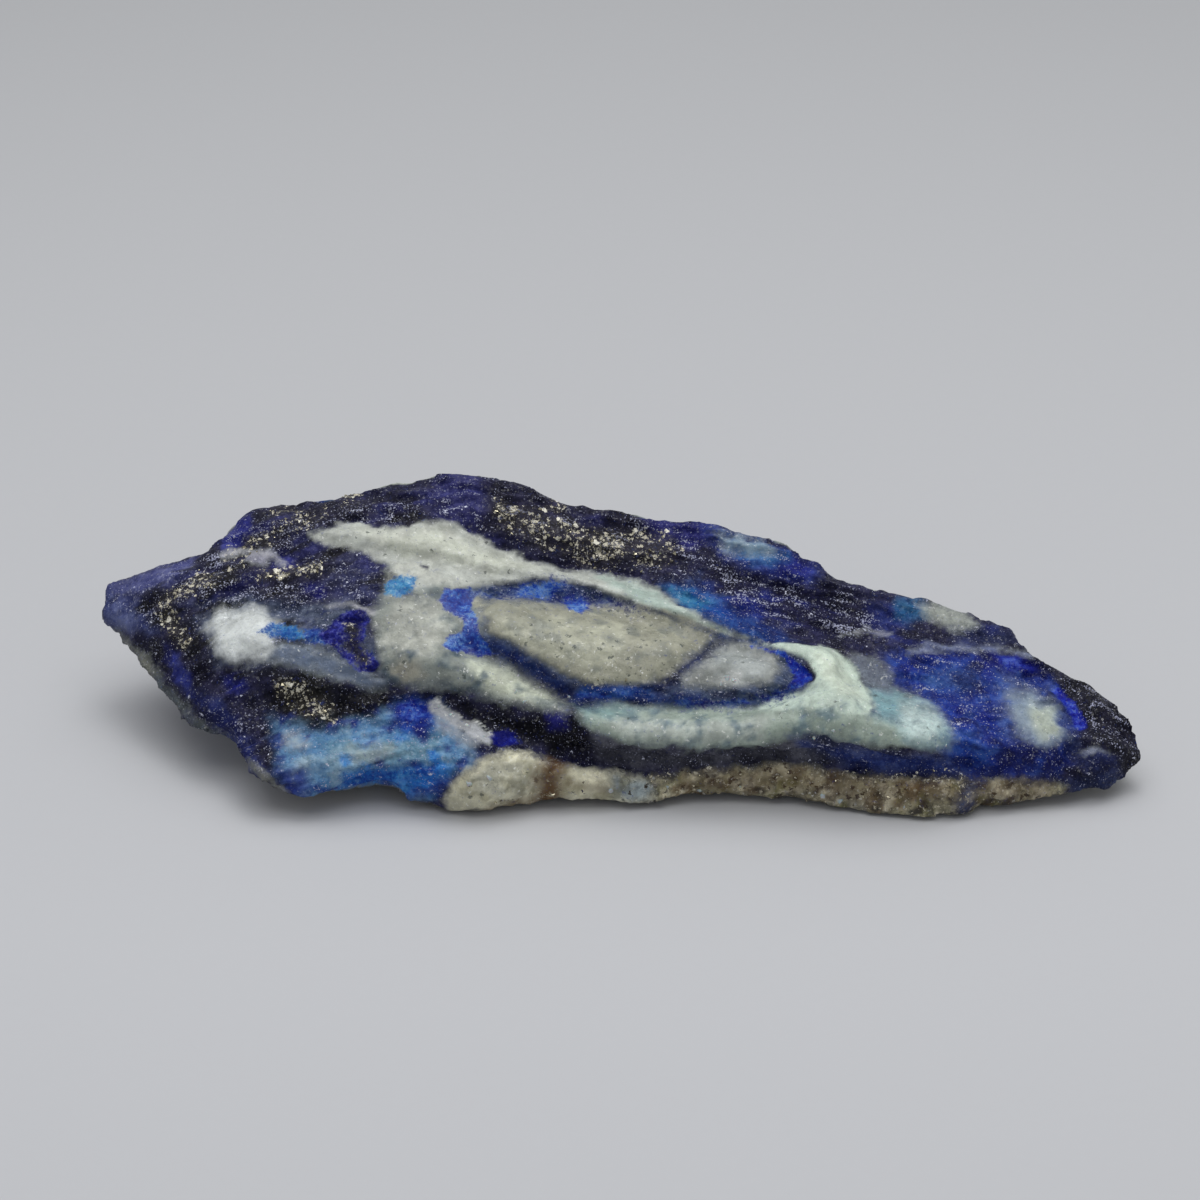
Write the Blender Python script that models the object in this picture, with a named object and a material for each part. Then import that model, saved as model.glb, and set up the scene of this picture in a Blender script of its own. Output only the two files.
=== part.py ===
"""A rough piece of afghanite in white calcite marble: one natural stone, lying on its flat spot.

Frame: metres, +X along the stone's length to its blunt end, +Y to its back, +Z up.
The origin is at the middle of the stone's outline, at the level it rests on.
"""

import math

import bmesh
import bpy
import numpy as np
from mathutils import Matrix, Vector, noise

MM = 0.001

# The skin is shaped on a fine mesh and then thinned to this many triangles. In millimetres:
# how far apart its sections are, its shortest edge, and what is low enough to be made flat.
STATION_SPACING = 0.5
RING_POINTS = 104
TRIANGLES = 9600
SHORTEST_EDGE = 0.01
NEARLY_FLAT = 0.03

# The relief's sizes, in millimetres: how far apart its lumps are, and how high they stand.
LUMP_SPACING, LUMP_HEIGHT = 5.5, 0.40
HACKLE_SPACING, HACKLE_HEIGHT = 2.6, 0.16
LAYER_THICKNESS, LAYER_STEP = 2.2, 0.42

# The rock's layers: the way they run along the stone, and the way they are stacked.
LAYER_RUN = Vector((0.95, -0.24, -0.19))
LAYER_STACK = Vector((0.22, 0.75, 0.62))

# The relief fades out over this many millimetres towards the pointed tip.
CALM_TIP = 8.0

# The flat spot that the stone rests on: its middle, and half its length and width.
FLAT_SPOT, FLAT_HALF = (1.0, -0.2), (13.0, 4.4)

# The lines that run along the stone, each through points (x, y, z) in millimetres, from its
# pointed end to its blunt end. A section of the stone passes through all of them in this order.
LEFT_TIP = (-35.0, 6.4, 7.2)
RIGHT_TIP = (35.9, -6.4, 2.2)

FRONT_FOOT = [
    (-34.3, 5.0, 6.4), (-33.0, 3.8, 6.6), (-31.1, 0.3, 5.1), (-28.4, -3.6, 3.3),
    (-27.2, -6.0, 1.9), (-25.4, -5.6, 4.1), (-23.2, -8.6, 2.8), (-20.0, -9.7, 1.7),
    (-17.0, -9.2, 1.5), (-14.8, -8.7, 1.5), (-12.3, -9.4, 0.6), (-8.9, -9.9, 0.2),
    (-5.6, -9.2, 0.5), (-1.5, -8.7, 1.0), (2.5, -9.1, 0.5), (7.9, -8.2, 0.8),
    (12.0, -8.5, 0.6), (16.7, -9.6, 0.3), (21.2, -10.8, 0.05), (25.5, -9.4, 0.5),
    (28.8, -8.8, 0.9), (32.1, -8.3, 0.9), (34.6, -7.6, 1.0),
]
FRONT_SHOULDER = [
    (-34.5, 5.2, 6.7), (-33.2, 3.3, 5.8), (-31.1, 0.0, 5.0), (-28.4, -3.7, 4.2),
    (-25.2, -5.9, 4.3), (-22.5, -9.3, 3.2), (-18.0, -9.4, 3.8), (-14.6, -8.9, 3.6),
    (-12.3, -9.1, 3.4), (-8.9, -9.2, 3.7), (-5.0, -8.7, 3.6), (-1.5, -8.5, 3.6),
    (5.0, -8.3, 3.6), (12.0, -8.5, 3.8), (18.0, -9.2, 4.1), (21.2, -9.5, 3.8),
    (28.0, -8.6, 2.8), (33.0, -7.9, 2.2), (34.7, -7.4, 1.9),
]
LOWER_ROLL = [
    (-34.4, 5.6, 7.3), (-31.8, 2.2, 6.9), (-29.1, -1.0, 6.6), (-25.1, -5.0, 5.4),
    (-19.7, -7.3, 5.1), (-15.0, -7.2, 5.3), (-10.3, -6.1, 5.9), (-5.0, -6.4, 5.4),
    (-1.5, -6.6, 5.6), (5.2, -6.8, 5.8), (11.9, -7.0, 6.1), (17.3, -7.6, 6.1),
    (20.7, -7.6, 5.8), (25.4, -7.0, 4.9), (30.8, -6.5, 4.1), (34.4, -6.7, 3.2),
]
MID_FACE = [
    (-34.2, 5.9, 7.8), (-30.5, 2.2, 8.0), (-25.7, -0.3, 8.6), (-21.7, -2.2, 8.5),
    (-17.0, -2.4, 9.0), (-11.6, -2.2, 9.1), (-5.6, -1.7, 8.7), (1.2, -2.0, 8.1),
    (7.9, -2.8, 7.2), (14.0, -4.0, 6.8), (18.7, -3.6, 6.3), (24.1, -3.0, 5.9),
    (28.8, -3.4, 5.0), (32.8, -4.6, 4.2), (34.6, -5.9, 3.4),
]
RIDGE = [
    (-34.0, 6.3, 8.0), (-31.8, 4.4, 8.8), (-27.1, 3.4, 10.2), (-23.5, 4.4, 11.2),
    (-20.4, 5.2, 12.0), (-15.0, 5.1, 12.4), (-9.6, 4.8, 11.4), (-4.2, 4.5, 10.2),
    (1.2, 3.8, 9.5), (5.2, 2.6, 8.9), (9.2, 1.0, 8.2), (12.6, -0.2, 7.7),
    (15.3, -0.8, 7.4), (18.7, 0.8, 7.0), (24.1, 0.4, 6.5), (28.8, -1.6, 5.3),
    (32.8, -3.4, 4.6), (34.7, -5.2, 3.5),
]
PLATEAU = [
    (-34.1, 6.7, 7.9), (-31.8, 6.1, 8.9), (-28.4, 6.0, 9.9), (-25.6, 6.9, 11.0),
    (-23.8, 7.5, 11.9), (-18.3, 7.8, 13.0), (-11.6, 8.4, 13.4), (-5.6, 7.2, 11.9),
    (1.2, 6.6, 10.8), (7.9, 5.2, 9.5), (13.3, 3.6, 8.5), (17.3, 3.2, 7.8),
    (24.1, 2.2, 6.9), (28.6, -0.3, 5.5), (32.6, -2.2, 4.9), (34.7, -4.5, 3.8),
]
CREST = [
    (-34.2, 7.0, 7.4), (-31.8, 7.7, 7.7), (-28.4, 8.1, 8.5), (-26.6, 8.4, 8.8),
    (-25.6, 9.0, 10.6), (-23.7, 9.6, 12.0), (-21.5, 9.9, 12.1), (-18.3, 10.0, 12.4),
    (-17.2, 10.3, 12.4), (-14.5, 10.5, 13.3), (-11.3, 10.7, 13.9), (-8.6, 10.7, 14.1),
    (-6.2, 10.3, 13.6), (-4.8, 10.0, 13.3), (-3.4, 9.7, 12.4), (-1.5, 9.3, 12.2),
    (5.2, 8.9, 12.1), (10.3, 7.8, 11.3), (12.9, 6.9, 11.1), (13.4, 6.5, 10.2),
    (15.1, 5.8, 9.7), (15.6, 5.6, 9.1), (20.4, 4.8, 8.2), (23.7, 3.8, 7.5),
    (27.1, 2.4, 7.0), (28.6, 1.2, 6.2), (29.4, 0.6, 5.9), (31.0, -0.3, 5.0),
    (32.6, -1.4, 4.4), (34.2, -3.0, 4.4), (34.9, -4.2, 4.4),
]
BACK_UPPER = [
    (-34.3, 7.1, 7.2), (-30.0, 8.7, 7.2), (-25.0, 10.0, 8.8), (-18.0, 11.0, 10.0),
    (-11.0, 11.4, 10.2), (-4.0, 11.0, 9.2), (3.0, 10.2, 8.6), (10.0, 8.9, 7.6),
    (16.0, 6.9, 6.6), (22.0, 5.4, 5.4), (28.0, 2.2, 4.3), (32.0, -0.4, 3.7),
    (34.8, -4.0, 2.7),
]
BACK_LOWER = [
    (-34.3, 6.9, 6.9), (-30.0, 7.9, 6.0), (-25.0, 9.2, 6.0), (-18.0, 10.2, 5.4),
    (-11.0, 10.6, 4.8), (-4.0, 10.4, 4.2), (3.0, 9.4, 3.8), (10.0, 8.3, 3.5),
    (16.0, 6.2, 3.3), (22.0, 4.4, 2.9), (28.0, 1.4, 2.4), (32.0, -1.4, 2.2),
    (34.8, -4.8, 2.0),
]
BACK_FOOT = [
    (-34.3, 6.5, 6.6), (-30.0, 6.2, 5.1), (-25.0, 6.4, 4.0), (-18.0, 7.2, 2.5),
    (-11.0, 7.4, 1.5), (-4.0, 7.4, 1.0), (3.0, 6.6, 0.8), (10.0, 5.6, 0.7),
    (16.0, 3.8, 0.9), (22.0, 1.8, 1.1), (28.0, -0.8, 1.3), (32.0, -2.8, 1.4),
    (34.8, -5.6, 1.5),
]
BELLY = [
    (-34.3, 5.9, 6.4), (-30.0, 2.6, 4.3), (-25.0, 0.6, 3.1), (-18.0, 0.0, 1.4),
    (-11.0, 0.0, 0.1), (-4.0, 0.0, -0.5), (3.0, -0.4, -0.6), (10.0, -1.0, -0.4),
    (16.0, -2.2, 0.3), (22.0, -3.2, 0.7), (28.0, -4.6, 0.9), (32.0, -5.4, 1.0),
    (34.8, -6.4, 1.3),
]
FRONT_UNDER = [
    (-34.3, 5.4, 6.1), (-30.0, -0.2, 3.6), (-25.0, -4.2, 2.3), (-18.0, -6.6, 1.4),
    (-11.0, -6.6, 0.8), (-4.0, -6.4, 0.6), (3.0, -6.2, 0.5), (10.0, -6.2, 0.6),
    (16.0, -7.0, 0.7), (22.0, -7.6, 0.5), (28.0, -7.2, 0.8), (32.0, -7.2, 0.9),
    (34.8, -7.2, 1.1),
]
LINES = [
    FRONT_FOOT, FRONT_SHOULDER, LOWER_ROLL, MID_FACE, RIDGE, PLATEAU,
    CREST, BACK_UPPER, BACK_LOWER, BACK_FOOT, BELLY, FRONT_UNDER,
]

# The forms that stand on the skin or are sunk into it, each a line of points in millimetres
# with its width and its height. A ledge is high on the left of its line, seen from outside.
RIBS = [
    # The lens of grey marble, and the smaller one next to it.
    (2.1, 0.90, [(-6.5, -1.1, 9.2), (-2.8, -2.3, 8.7), (1.8, -2.5, 7.9), (4.6, -2.2, 8.0)]),
    (1.5, 0.55, [(7.6, -3.1, 7.5), (10.6, -3.2, 7.2)]),
    # The rolls of white marble below them.
    (1.5, 0.85, [
        (-1.8, -6.8, 5.8), (1.8, -7.9, 5.2), (5.7, -8.2, 4.9), (9.7, -7.9, 5.1),
        (14.2, -7.8, 6.0), (18.7, -8.7, 5.8), (21.0, -9.0, 5.2),
    ]),
    (1.2, 0.70, [(-12.8, -3.5, 8.6), (-7.5, -5.2, 7.5), (-3.5, -6.3, 6.3)]),
    (2.0, 0.60, [(12.5, -1.6, 7.3), (14.6, -4.0, 6.9), (15.2, -6.0, 6.6)]),
    # The white mounds at the pointed end and at the blunt end.
    (1.8, 0.80, [(-26.1, -1.9, 8.2), (-23.4, -1.4, 8.8)]),
    (1.5, 0.35, [(26.8, -4.7, 5.0), (29.6, -6.6, 4.2)]),
    (0.6, 0.40, [(-12.4, -6.7, 6.3), (-10.7, -7.5, 5.5), (-8.1, -8.6, 4.8)]),
    (1.3, 0.35, [(-8.7, -9.8, 2.8), (-4.8, -9.6, 2.2), (-0.2, -9.1, 2.2)]),
    # The knobs of the rough blunt end.
    (1.0, 0.40, [(31.7, -2.1, 4.6), (32.2, -2.8, 4.4)]),
    (0.9, 0.35, [(33.2, -4.0, 4.1), (33.6, -4.9, 3.8)]),
    (1.0, 0.35, [(32.9, -7.3, 3.0), (33.8, -7.4, 2.6)]),
    # Knuckles of the underside.
    (2.0, 0.50, [(-22.0, -4.0, 2.0), (-15.0, -5.0, 1.2)]),
    (1.6, 0.40, [(22.0, -1.0, 0.9), (28.0, -3.0, 1.1)]),
]
GROOVES = [
    # Around and between the lenses.
    (0.8, 0.85, [
        (-9.0, -2.7, 9.0), (-6.2, -3.6, 8.1), (-3.5, -5.2, 7.1), (-0.2, -6.0, 6.5),
        (4.4, -6.2, 6.3), (9.7, -6.3, 6.2), (13.2, -4.6, 6.8),
    ]),
    (0.8, 0.60, [
        (-9.3, 1.1, 9.9), (-4.9, 2.9, 9.8), (-0.9, 2.3, 9.3), (2.5, 0.9, 8.8),
        (5.9, -0.8, 8.2), (10.5, -2.0, 7.5), (13.0, -3.4, 7.1),
    ]),
    (0.6, 0.40, [(6.8, -1.7, 8.0), (5.1, -3.1, 7.5), (3.5, -5.1, 6.9)]),
    # The long groove over the foot of the front.
    (1.0, 1.10, [
        (-11.4, -5.8, 6.8), (-7.4, -7.0, 5.8), (-3.5, -8.2, 4.6), (-0.9, -8.7, 3.8),
        (5.1, -8.9, 3.3), (9.7, -8.9, 3.8), (14.2, -9.1, 4.0), (18.8, -9.8, 3.7),
        (22.7, -9.8, 3.7), (26.0, -9.3, 3.2),
    ]),
    # The dark hollow, the seam above the white ridge, and the crack in the front.
    (2.1, 1.00, [(-21.4, -6.0, 6.2), (-18.0, -6.6, 6.3), (-14.5, -6.0, 7.0)]),
    (0.9, 0.40, [
        (-8.3, 5.6, 11.7), (-3.6, 5.1, 10.4), (1.9, 4.2, 9.6), (5.9, 2.9, 9.2),
        (10.0, 1.7, 8.4), (14.0, 0.0, 7.4),
    ]),
    (0.7, 0.35, [(-4.5, -9.3, 3.8), (-4.0, -9.4, 0.9)]),
    # The crease before the rough blunt end.
    (0.7, 0.45, [(29.4, -0.4, 5.2), (31.4, -3.5, 4.7), (31.6, -6.5, 3.8), (30.4, -8.6, 2.8)]),
    # Pits along the crest.
    (0.9, 0.50, [(-8.2, 7.0, 12.9), (-7.2, 7.2, 12.8)]),
    (0.8, 0.45, [(-4.8, 7.5, 12.7), (-4.0, 7.3, 12.4)]),
    (1.0, 0.50, [(-1.9, 5.9, 11.1), (-0.6, 5.8, 11.0)]),
    (0.7, 0.40, [(-20.7, 7.5, 12.7), (-19.9, 7.4, 12.8)]),
    (0.8, 0.40, [(2.4, 7.2, 11.6), (3.4, 7.0, 11.4)]),
    # Hollows in the back and the underside.
    (2.6, 0.80, [(-20.0, 10.6, 7.4), (-13.0, 11.2, 6.8)]),
    (2.2, 0.60, [(1.0, 10.0, 5.6), (8.5, 8.6, 5.0)]),
    (1.4, 0.50, [(17.0, 6.0, 4.4), (23.5, 4.0, 3.6)]),
    (2.4, 0.70, [(-29.0, 3.0, 4.2), (-22.0, 2.0, 2.6)]),
    (1.6, 0.50, [(19.0, -4.0, 0.6), (27.0, -5.0, 0.9)]),
    (1.8, 0.60, [(-20.0, -1.0, 1.8), (-13.5, 4.6, 1.2)]),
]
LEDGES = [
    # The white ridge, whose lower side drops to the lens.
    (2.3, 0.80, [
        (-20.0, 5.3, 12.4), (-14.4, 4.4, 12.1), (-9.0, 4.1, 11.0), (-4.9, 3.8, 10.1),
        (-0.9, 3.2, 9.5), (2.5, 2.0, 9.0), (5.9, 0.5, 8.5), (9.9, -0.6, 7.9),
    ]),
    # The broken end of the greenish slab.
    (1.8, 1.00, [(17.0, -7.6, 6.3), (16.5, -5.6, 6.7), (15.4, -1.7, 7.2)]),
    # The layers that curl round the pointed end.
    (1.5, 0.60, [(-33.7, 3.6, 7.1), (-30.4, 3.4, 8.8), (-28.1, 4.0, 9.9), (-25.8, 6.1, 10.9)]),
    (1.3, 0.55, [
        (-32.5, 2.1, 6.4), (-29.6, 2.0, 8.5), (-26.8, 2.0, 10.1), (-23.7, 2.9, 10.7),
        (-19.8, 2.1, 11.0),
    ]),
    (1.2, 0.45, [
        (-31.3, 0.0, 5.9), (-28.8, -0.2, 7.9), (-27.5, 1.1, 9.2), (-25.1, 1.0, 9.9),
        (-21.0, 0.6, 10.0), (-17.9, -0.4, 10.3),
    ]),
    (1.0, 0.45, [(-29.7, -2.4, 5.5), (-27.6, -2.5, 7.1), (-26.6, -1.6, 8.1)]),
    (1.6, 0.45, [(-28.2, -4.0, 5.7), (-24.7, -6.1, 5.2), (-20.6, -7.6, 5.2), (-16.6, -7.3, 5.9)]),
    # The layers of the dark rock along the crest and down to the blunt end.
    (1.5, 0.55, [
        (-9.1, 8.3, 13.8), (-6.3, 7.1, 12.7), (-2.9, 6.5, 11.7), (1.2, 6.1, 10.9),
        (6.0, 5.8, 10.5), (10.1, 4.9, 9.6), (14.1, 3.7, 8.6),
    ]),
    (1.2, 0.50, [(-24.5, 7.1, 11.9), (-21.3, 5.8, 12.3), (-18.6, 6.6, 13.0), (-14.5, 7.5, 13.2)]),
    (1.2, 0.35, [(16.8, 1.7, 7.5), (21.5, 0.4, 6.8), (26.2, 0.1, 6.1), (28.9, -0.3, 5.2)]),
    (1.2, 0.40, [(17.9, -2.7, 6.6), (23.3, -2.4, 6.1), (27.3, -2.7, 5.3), (30.2, -4.3, 4.7)]),
    (1.0, 0.35, [(17.5, 3.3, 8.0), (21.6, 2.5, 7.6), (25.2, 1.9, 6.9)]),
    # Layers that stand out of the back.
    (1.6, 0.50, [(22.0, 4.8, 4.0), (12.0, 8.0, 5.2), (-2.0, 10.6, 6.2), (-12.0, 11.2, 6.6)]),
    (1.4, 0.50, [(18.0, 5.4, 2.6), (6.0, 8.8, 3.0), (-8.0, 10.6, 3.6)]),
    (1.4, 0.50, [(-14.0, 11.0, 8.2), (-22.0, 10.2, 7.6), (-29.0, 8.6, 6.4)]),
]

# Where the marble is smooth, each a line of points with the width it spreads over.
CALM = [
    (4.2, [(-8.0, -0.5, 9.6), (-2.8, -1.0, 9.0), (3.0, -1.6, 8.2), (11.0, -3.0, 7.3)]),
    (2.4, [(-21.0, 4.4, 11.4), (-14.4, 3.0, 11.6), (-6.0, 2.6, 9.9), (2.5, 2.6, 9.2)]),
    (2.6, [(-26.0, -1.8, 8.3), (-17.0, -2.4, 9.2), (-9.0, -4.6, 7.7)]),
    (3.0, [(-3.0, -7.0, 5.6), (5.0, -7.6, 5.2), (14.0, -7.4, 6.0), (22.0, -8.4, 5.2)]),
    (2.6, [(-22.0, -8.6, 4.0), (-12.0, -8.4, 4.6), (-4.0, -9.2, 2.4)]),
    (2.4, [(22.0, -4.0, 5.8), (29.0, -6.0, 4.4)]),
]

# Flat fracture faces: a point on each in millimetres, and the way it faces.
FRACTURES = [
    ((-24.0, 9.9, 8.2), (-0.38, 0.90, 0.18)),
    ((-16.0, 11.2, 8.6), (-0.10, 0.97, 0.20)),
    ((-8.0, 11.5, 5.6), (0.04, 0.97, -0.24)),
    ((-1.0, 11.0, 8.4), (0.22, 0.96, 0.14)),
    ((6.0, 9.7, 5.0), (0.14, 0.97, -0.20)),
    ((13.0, 8.4, 6.4), (0.34, 0.92, 0.16)),
    ((19.0, 6.2, 3.4), (0.26, 0.94, -0.22)),
    ((25.5, 4.2, 5.0), (0.46, 0.86, 0.18)),
    ((-20.0, 8.8, 3.6), (-0.18, 0.62, -0.76)),
    ((-6.0, 9.4, 2.4), (0.02, 0.56, -0.83)),
    ((8.0, 8.0, 1.9), (0.16, 0.70, -0.70)),
    ((-28.0, 7.4, 5.6), (-0.44, 0.60, -0.67)),
    ((-28.0, 0.0, 3.2), (-0.34, -0.02, -0.94)),
    ((-20.0, 3.0, 1.6), (-0.12, 0.12, -0.98)),
    ((30.0, -1.6, 1.5), (0.34, 0.40, -0.85)),
]


def through(points, x):
    """The (y, z) of a smooth line through points (x, y, z), at x: a monotone cubic in each."""
    xs = np.array([p[0] for p in points])
    k = int(np.clip(np.searchsorted(xs, x) - 1, 0, len(xs) - 2))
    h = xs[k + 1] - xs[k]
    t = (x - xs[k]) / h
    found = []
    for axis in (1, 2):
        v = np.array([p[axis] for p in points])
        slope = np.diff(v) / np.diff(xs)
        ends = []
        for i in (k, k + 1):
            before, after = slope[max(i - 1, 0)], slope[min(i, len(slope) - 1)]
            flat = before * after <= 0
            ends.append(0.0 if flat else 2 * before * after / (before + after))
        found.append(
            (1 + 2 * t) * (1 - t) ** 2 * v[k]
            + t * (1 - t) ** 2 * h * ends[0]
            + t * t * (3 - 2 * t) * v[k + 1]
            + t * t * (t - 1) * h * ends[1]
        )
    return Vector((x, found[0], found[1]))


def round_the_section(corners, count):
    """Points evenly spaced along a closed Catmull-Rom curve through the section's corners."""
    fine, steps, n = [], 12, len(corners)
    for i in range(n):
        a, b, c, d = (corners[(i + j) % n] for j in (-1, 0, 1, 2))
        for k in range(steps):
            t = k / steps
            fine.append(
                0.5 * (
                    2 * b + (c - a) * t + (2 * a - 5 * b + 4 * c - d) * t * t
                    + (3 * b - a - 3 * c + d) * t ** 3
                )
            )
    along = [0.0]
    for p, q in zip(fine, fine[1:] + fine[:1]):
        along.append(along[-1] + (q - p).length)
    closed = np.array([*fine, fine[0]])
    at = np.linspace(0, along[-1], count, endpoint=False)
    return [Vector(np.interp(s, along, closed[:, axis]) for axis in range(3)) for s in at]


def stations():
    """The stone's sections along X, closer together towards its two tips."""
    lines = [[LEFT_TIP, *line, RIGHT_TIP] for line in LINES]
    count = round((RIGHT_TIP[0] - LEFT_TIP[0]) / STATION_SPACING)
    for i in range(1, count):
        share = 0.7 * i / count + 0.3 * (0.5 - 0.5 * math.cos(math.pi * i / count))
        x = LEFT_TIP[0] + share * (RIGHT_TIP[0] - LEFT_TIP[0])
        yield round_the_section([through(line, x) for line in lines], RING_POINTS)


def skin_over(bm, rings):
    """Bridges the sections into one closed skin that ends in a point at each tip."""
    loops = []
    for ring in rings:
        verts = [bm.verts.new(p) for p in ring]
        loops.append([bm.edges.new((a, b)) for a, b in zip(verts, verts[1:] + verts[:1])])
    bmesh.ops.bridge_loops(bm, edges=[edge for loop in loops for edge in loop])
    for tip, loop in ((LEFT_TIP, loops[0]), (RIGHT_TIP, loops[-1])):
        point = bm.verts.new(tip)
        for edge in loop:
            bm.faces.new((*edge.verts, point))
    bmesh.ops.recalc_face_normals(bm, faces=bm.faces)
    bm.normal_update()


def across(points, normals, line):
    """How far each point is from the line, and how squarely it is left of it, from +1 to -1."""
    nearest = np.full(len(points), np.inf)
    side = np.ones(len(points))
    for a, b in zip(np.array(line), np.array(line[1:])):
        run = b - a
        t = np.clip((points - a) @ run / (run @ run), 0, 1)
        away = points - (a + t[:, None] * run)
        gap = np.linalg.norm(away, axis=1)
        leftward = np.cross(normals, run / np.linalg.norm(run))
        left = np.einsum("ij,ij->i", leftward, away) / np.maximum(gap, 1e-6)
        closer = gap < nearest
        side = np.where(closer, left, side)
        nearest = np.where(closer, gap, nearest)
    return nearest, side


def carve(points, normals):
    """How far the ribs, grooves and ledges move each point out."""
    out = np.zeros(len(points))
    for width, height, line in RIBS:
        gap, _ = across(points, normals, line)
        out += height * np.exp(-((gap / width) ** 2))
    for width, depth, line in GROOVES:
        gap, _ = across(points, normals, line)
        out -= depth * np.exp(-((gap / width) ** 2))
    for width, height, line in LEDGES:
        gap, side = across(points, normals, line)
        step = np.tanh(side * gap / 0.3) * side ** 2
        fade = np.exp(-gap / np.where(side > 0, width, 0.7 * width))
        out += height * fade * np.where(side > 0, 0.65, 0.35) * step
    return out


def layer_step(p):
    """How far a point stands out for the rock's layers, which curl round the pointed end."""
    curl = 0.035 * min(0.0, p.x + 19.0) ** 2
    bent = 1.7 * noise.noise(p / 10.0) + 0.5 * noise.noise(p / 3.6)
    level = (p.dot(LAYER_STACK) + curl + bent) / LAYER_THICKNESS
    rise = level - math.floor(level)
    amount = min(1.0, max(0.0, 0.55 + 1.6 * noise.noise(p / 7.0 + Vector((3.0, 9.0, 4.0)))))
    return LAYER_STEP * amount * (0.5 - rise if rise > 0.15 else rise / 0.15 * 0.85 - 0.35)


def lumps(p):
    """Long soft lumps that run with the layers, and the sharper hackle of broken marble."""
    run = LAYER_RUN * p.dot(LAYER_RUN)
    drawn_out = (p - run) + 0.5 * run
    soft = noise.fractal(drawn_out / LUMP_SPACING, 0.9, 2.0, 3)
    at = drawn_out / HACKLE_SPACING + Vector((7.0, 3.0, 1.0))
    sharp = noise.ridged_multi_fractal(at, 1.0, 2.0, 2, 1.0, 2.0) - 1.1
    return LUMP_HEIGHT * soft + HACKLE_HEIGHT * sharp


def roughen(bm):
    """Moves each point of the skin along its normal, less at the pointed tip and the flat spot."""
    points = np.array([v.co for v in bm.verts])
    normals = np.array([v.normal for v in bm.verts])
    calm = np.ones(len(points))
    for width, line in CALM:
        gap, _ = across(points, normals, line)
        calm = np.minimum(calm, 1 - 0.8 * np.exp(-((gap / width) ** 4)))
    out = carve(points, normals)
    out += calm * [layer_step(v.co) for v in bm.verts]
    out += (0.4 + 0.6 * calm) * [lumps(v.co) for v in bm.verts]
    out *= np.clip(np.linalg.norm(points - LEFT_TIP, axis=1) / CALM_TIP, 0.1, 1)
    reach = np.linalg.norm((points[:, :2] - FLAT_SPOT) / FLAT_HALF, axis=1)
    under = (points[:, 2] < 1.5) & (normals[:, 2] < -0.5)
    out *= np.where(under, np.clip((reach - 0.75) / 0.6, 0, 1), 1)
    for v, way, far in zip(bm.verts, normals, out):
        v.co += Vector(way) * far
        v.co.z = max(v.co.z, 0.0)


def break_flat(bm):
    """Cuts the skin back to its fracture faces."""
    planes = [(Vector(point), Vector(normal).normalized()) for point, normal in FRACTURES]
    for v in bm.verts:
        for point, normal in planes:
            v.co -= normal * max(0.0, (v.co - point).dot(normal))
    bm.normal_update()


def thinned(bm):
    """The same skin in fewer triangles, which are kept where it bends most."""
    mesh = bpy.data.meshes.new("fine_skin")
    bmesh.ops.triangulate(bm, faces=bm.faces)
    bm.to_mesh(mesh)
    fine = bpy.data.objects.new("fine_skin", mesh)
    bpy.context.scene.collection.objects.link(fine)
    fewer = fine.modifiers.new("fewer", "DECIMATE")
    fewer.ratio = TRIANGLES / len(bm.faces)
    graph = bpy.context.evaluated_depsgraph_get()
    bm.clear()
    bm.from_mesh(fine.evaluated_get(graph).to_mesh())
    bpy.data.objects.remove(fine)
    bpy.data.meshes.remove(mesh)


def settle(bm):
    """Makes the flat spot truly flat and puts the origin at the middle of the outline."""
    for v in bm.verts:
        if v.co.z < NEARLY_FLAT:
            v.co.z = 0.0
    bmesh.ops.dissolve_degenerate(bm, edges=bm.edges, dist=SHORTEST_EDGE)
    bmesh.ops.triangulate(bm, faces=bm.faces)
    points = np.array([v.co for v in bm.verts])
    middle = (points.min(0) + points.max(0)) / 2
    bmesh.ops.translate(bm, verts=bm.verts, vec=(-middle[0], -middle[1], 0.0))
    bmesh.ops.recalc_face_normals(bm, faces=bm.faces)


def stone_material():
    material = bpy.data.materials.new("afghanite_in_marble")
    material.use_nodes = True
    surface = material.node_tree.nodes["Principled BSDF"]
    surface.inputs["Base Color"].default_value = (0.075, 0.105, 0.23, 1.0)
    surface.inputs["Roughness"].default_value = 0.55
    surface.inputs["Metallic"].default_value = 0.0
    return material


def build_stone():
    bm = bmesh.new()
    skin_over(bm, list(stations()))
    break_flat(bm)
    roughen(bm)
    thinned(bm)
    settle(bm)
    bmesh.ops.transform(bm, matrix=Matrix.Scale(MM, 4), verts=bm.verts)
    mesh = bpy.data.meshes.new("afghanite_stone")
    bm.to_mesh(mesh)
    bm.free()
    mesh.materials.append(stone_material())
    stone = bpy.data.objects.new("afghanite_stone", mesh)
    bpy.context.scene.collection.objects.link(stone)
    return stone


for old in list(bpy.data.objects):
    bpy.data.objects.remove(old)
build_stone()
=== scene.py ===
"""The looks of a rough piece of afghanite in white calcite marble, lying on a pale floor.

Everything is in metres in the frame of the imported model: +X to the stone's blunt end, +Z up.
"""

import math
import random

import bmesh
import bpy
import numpy as np
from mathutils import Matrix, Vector, noise


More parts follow.
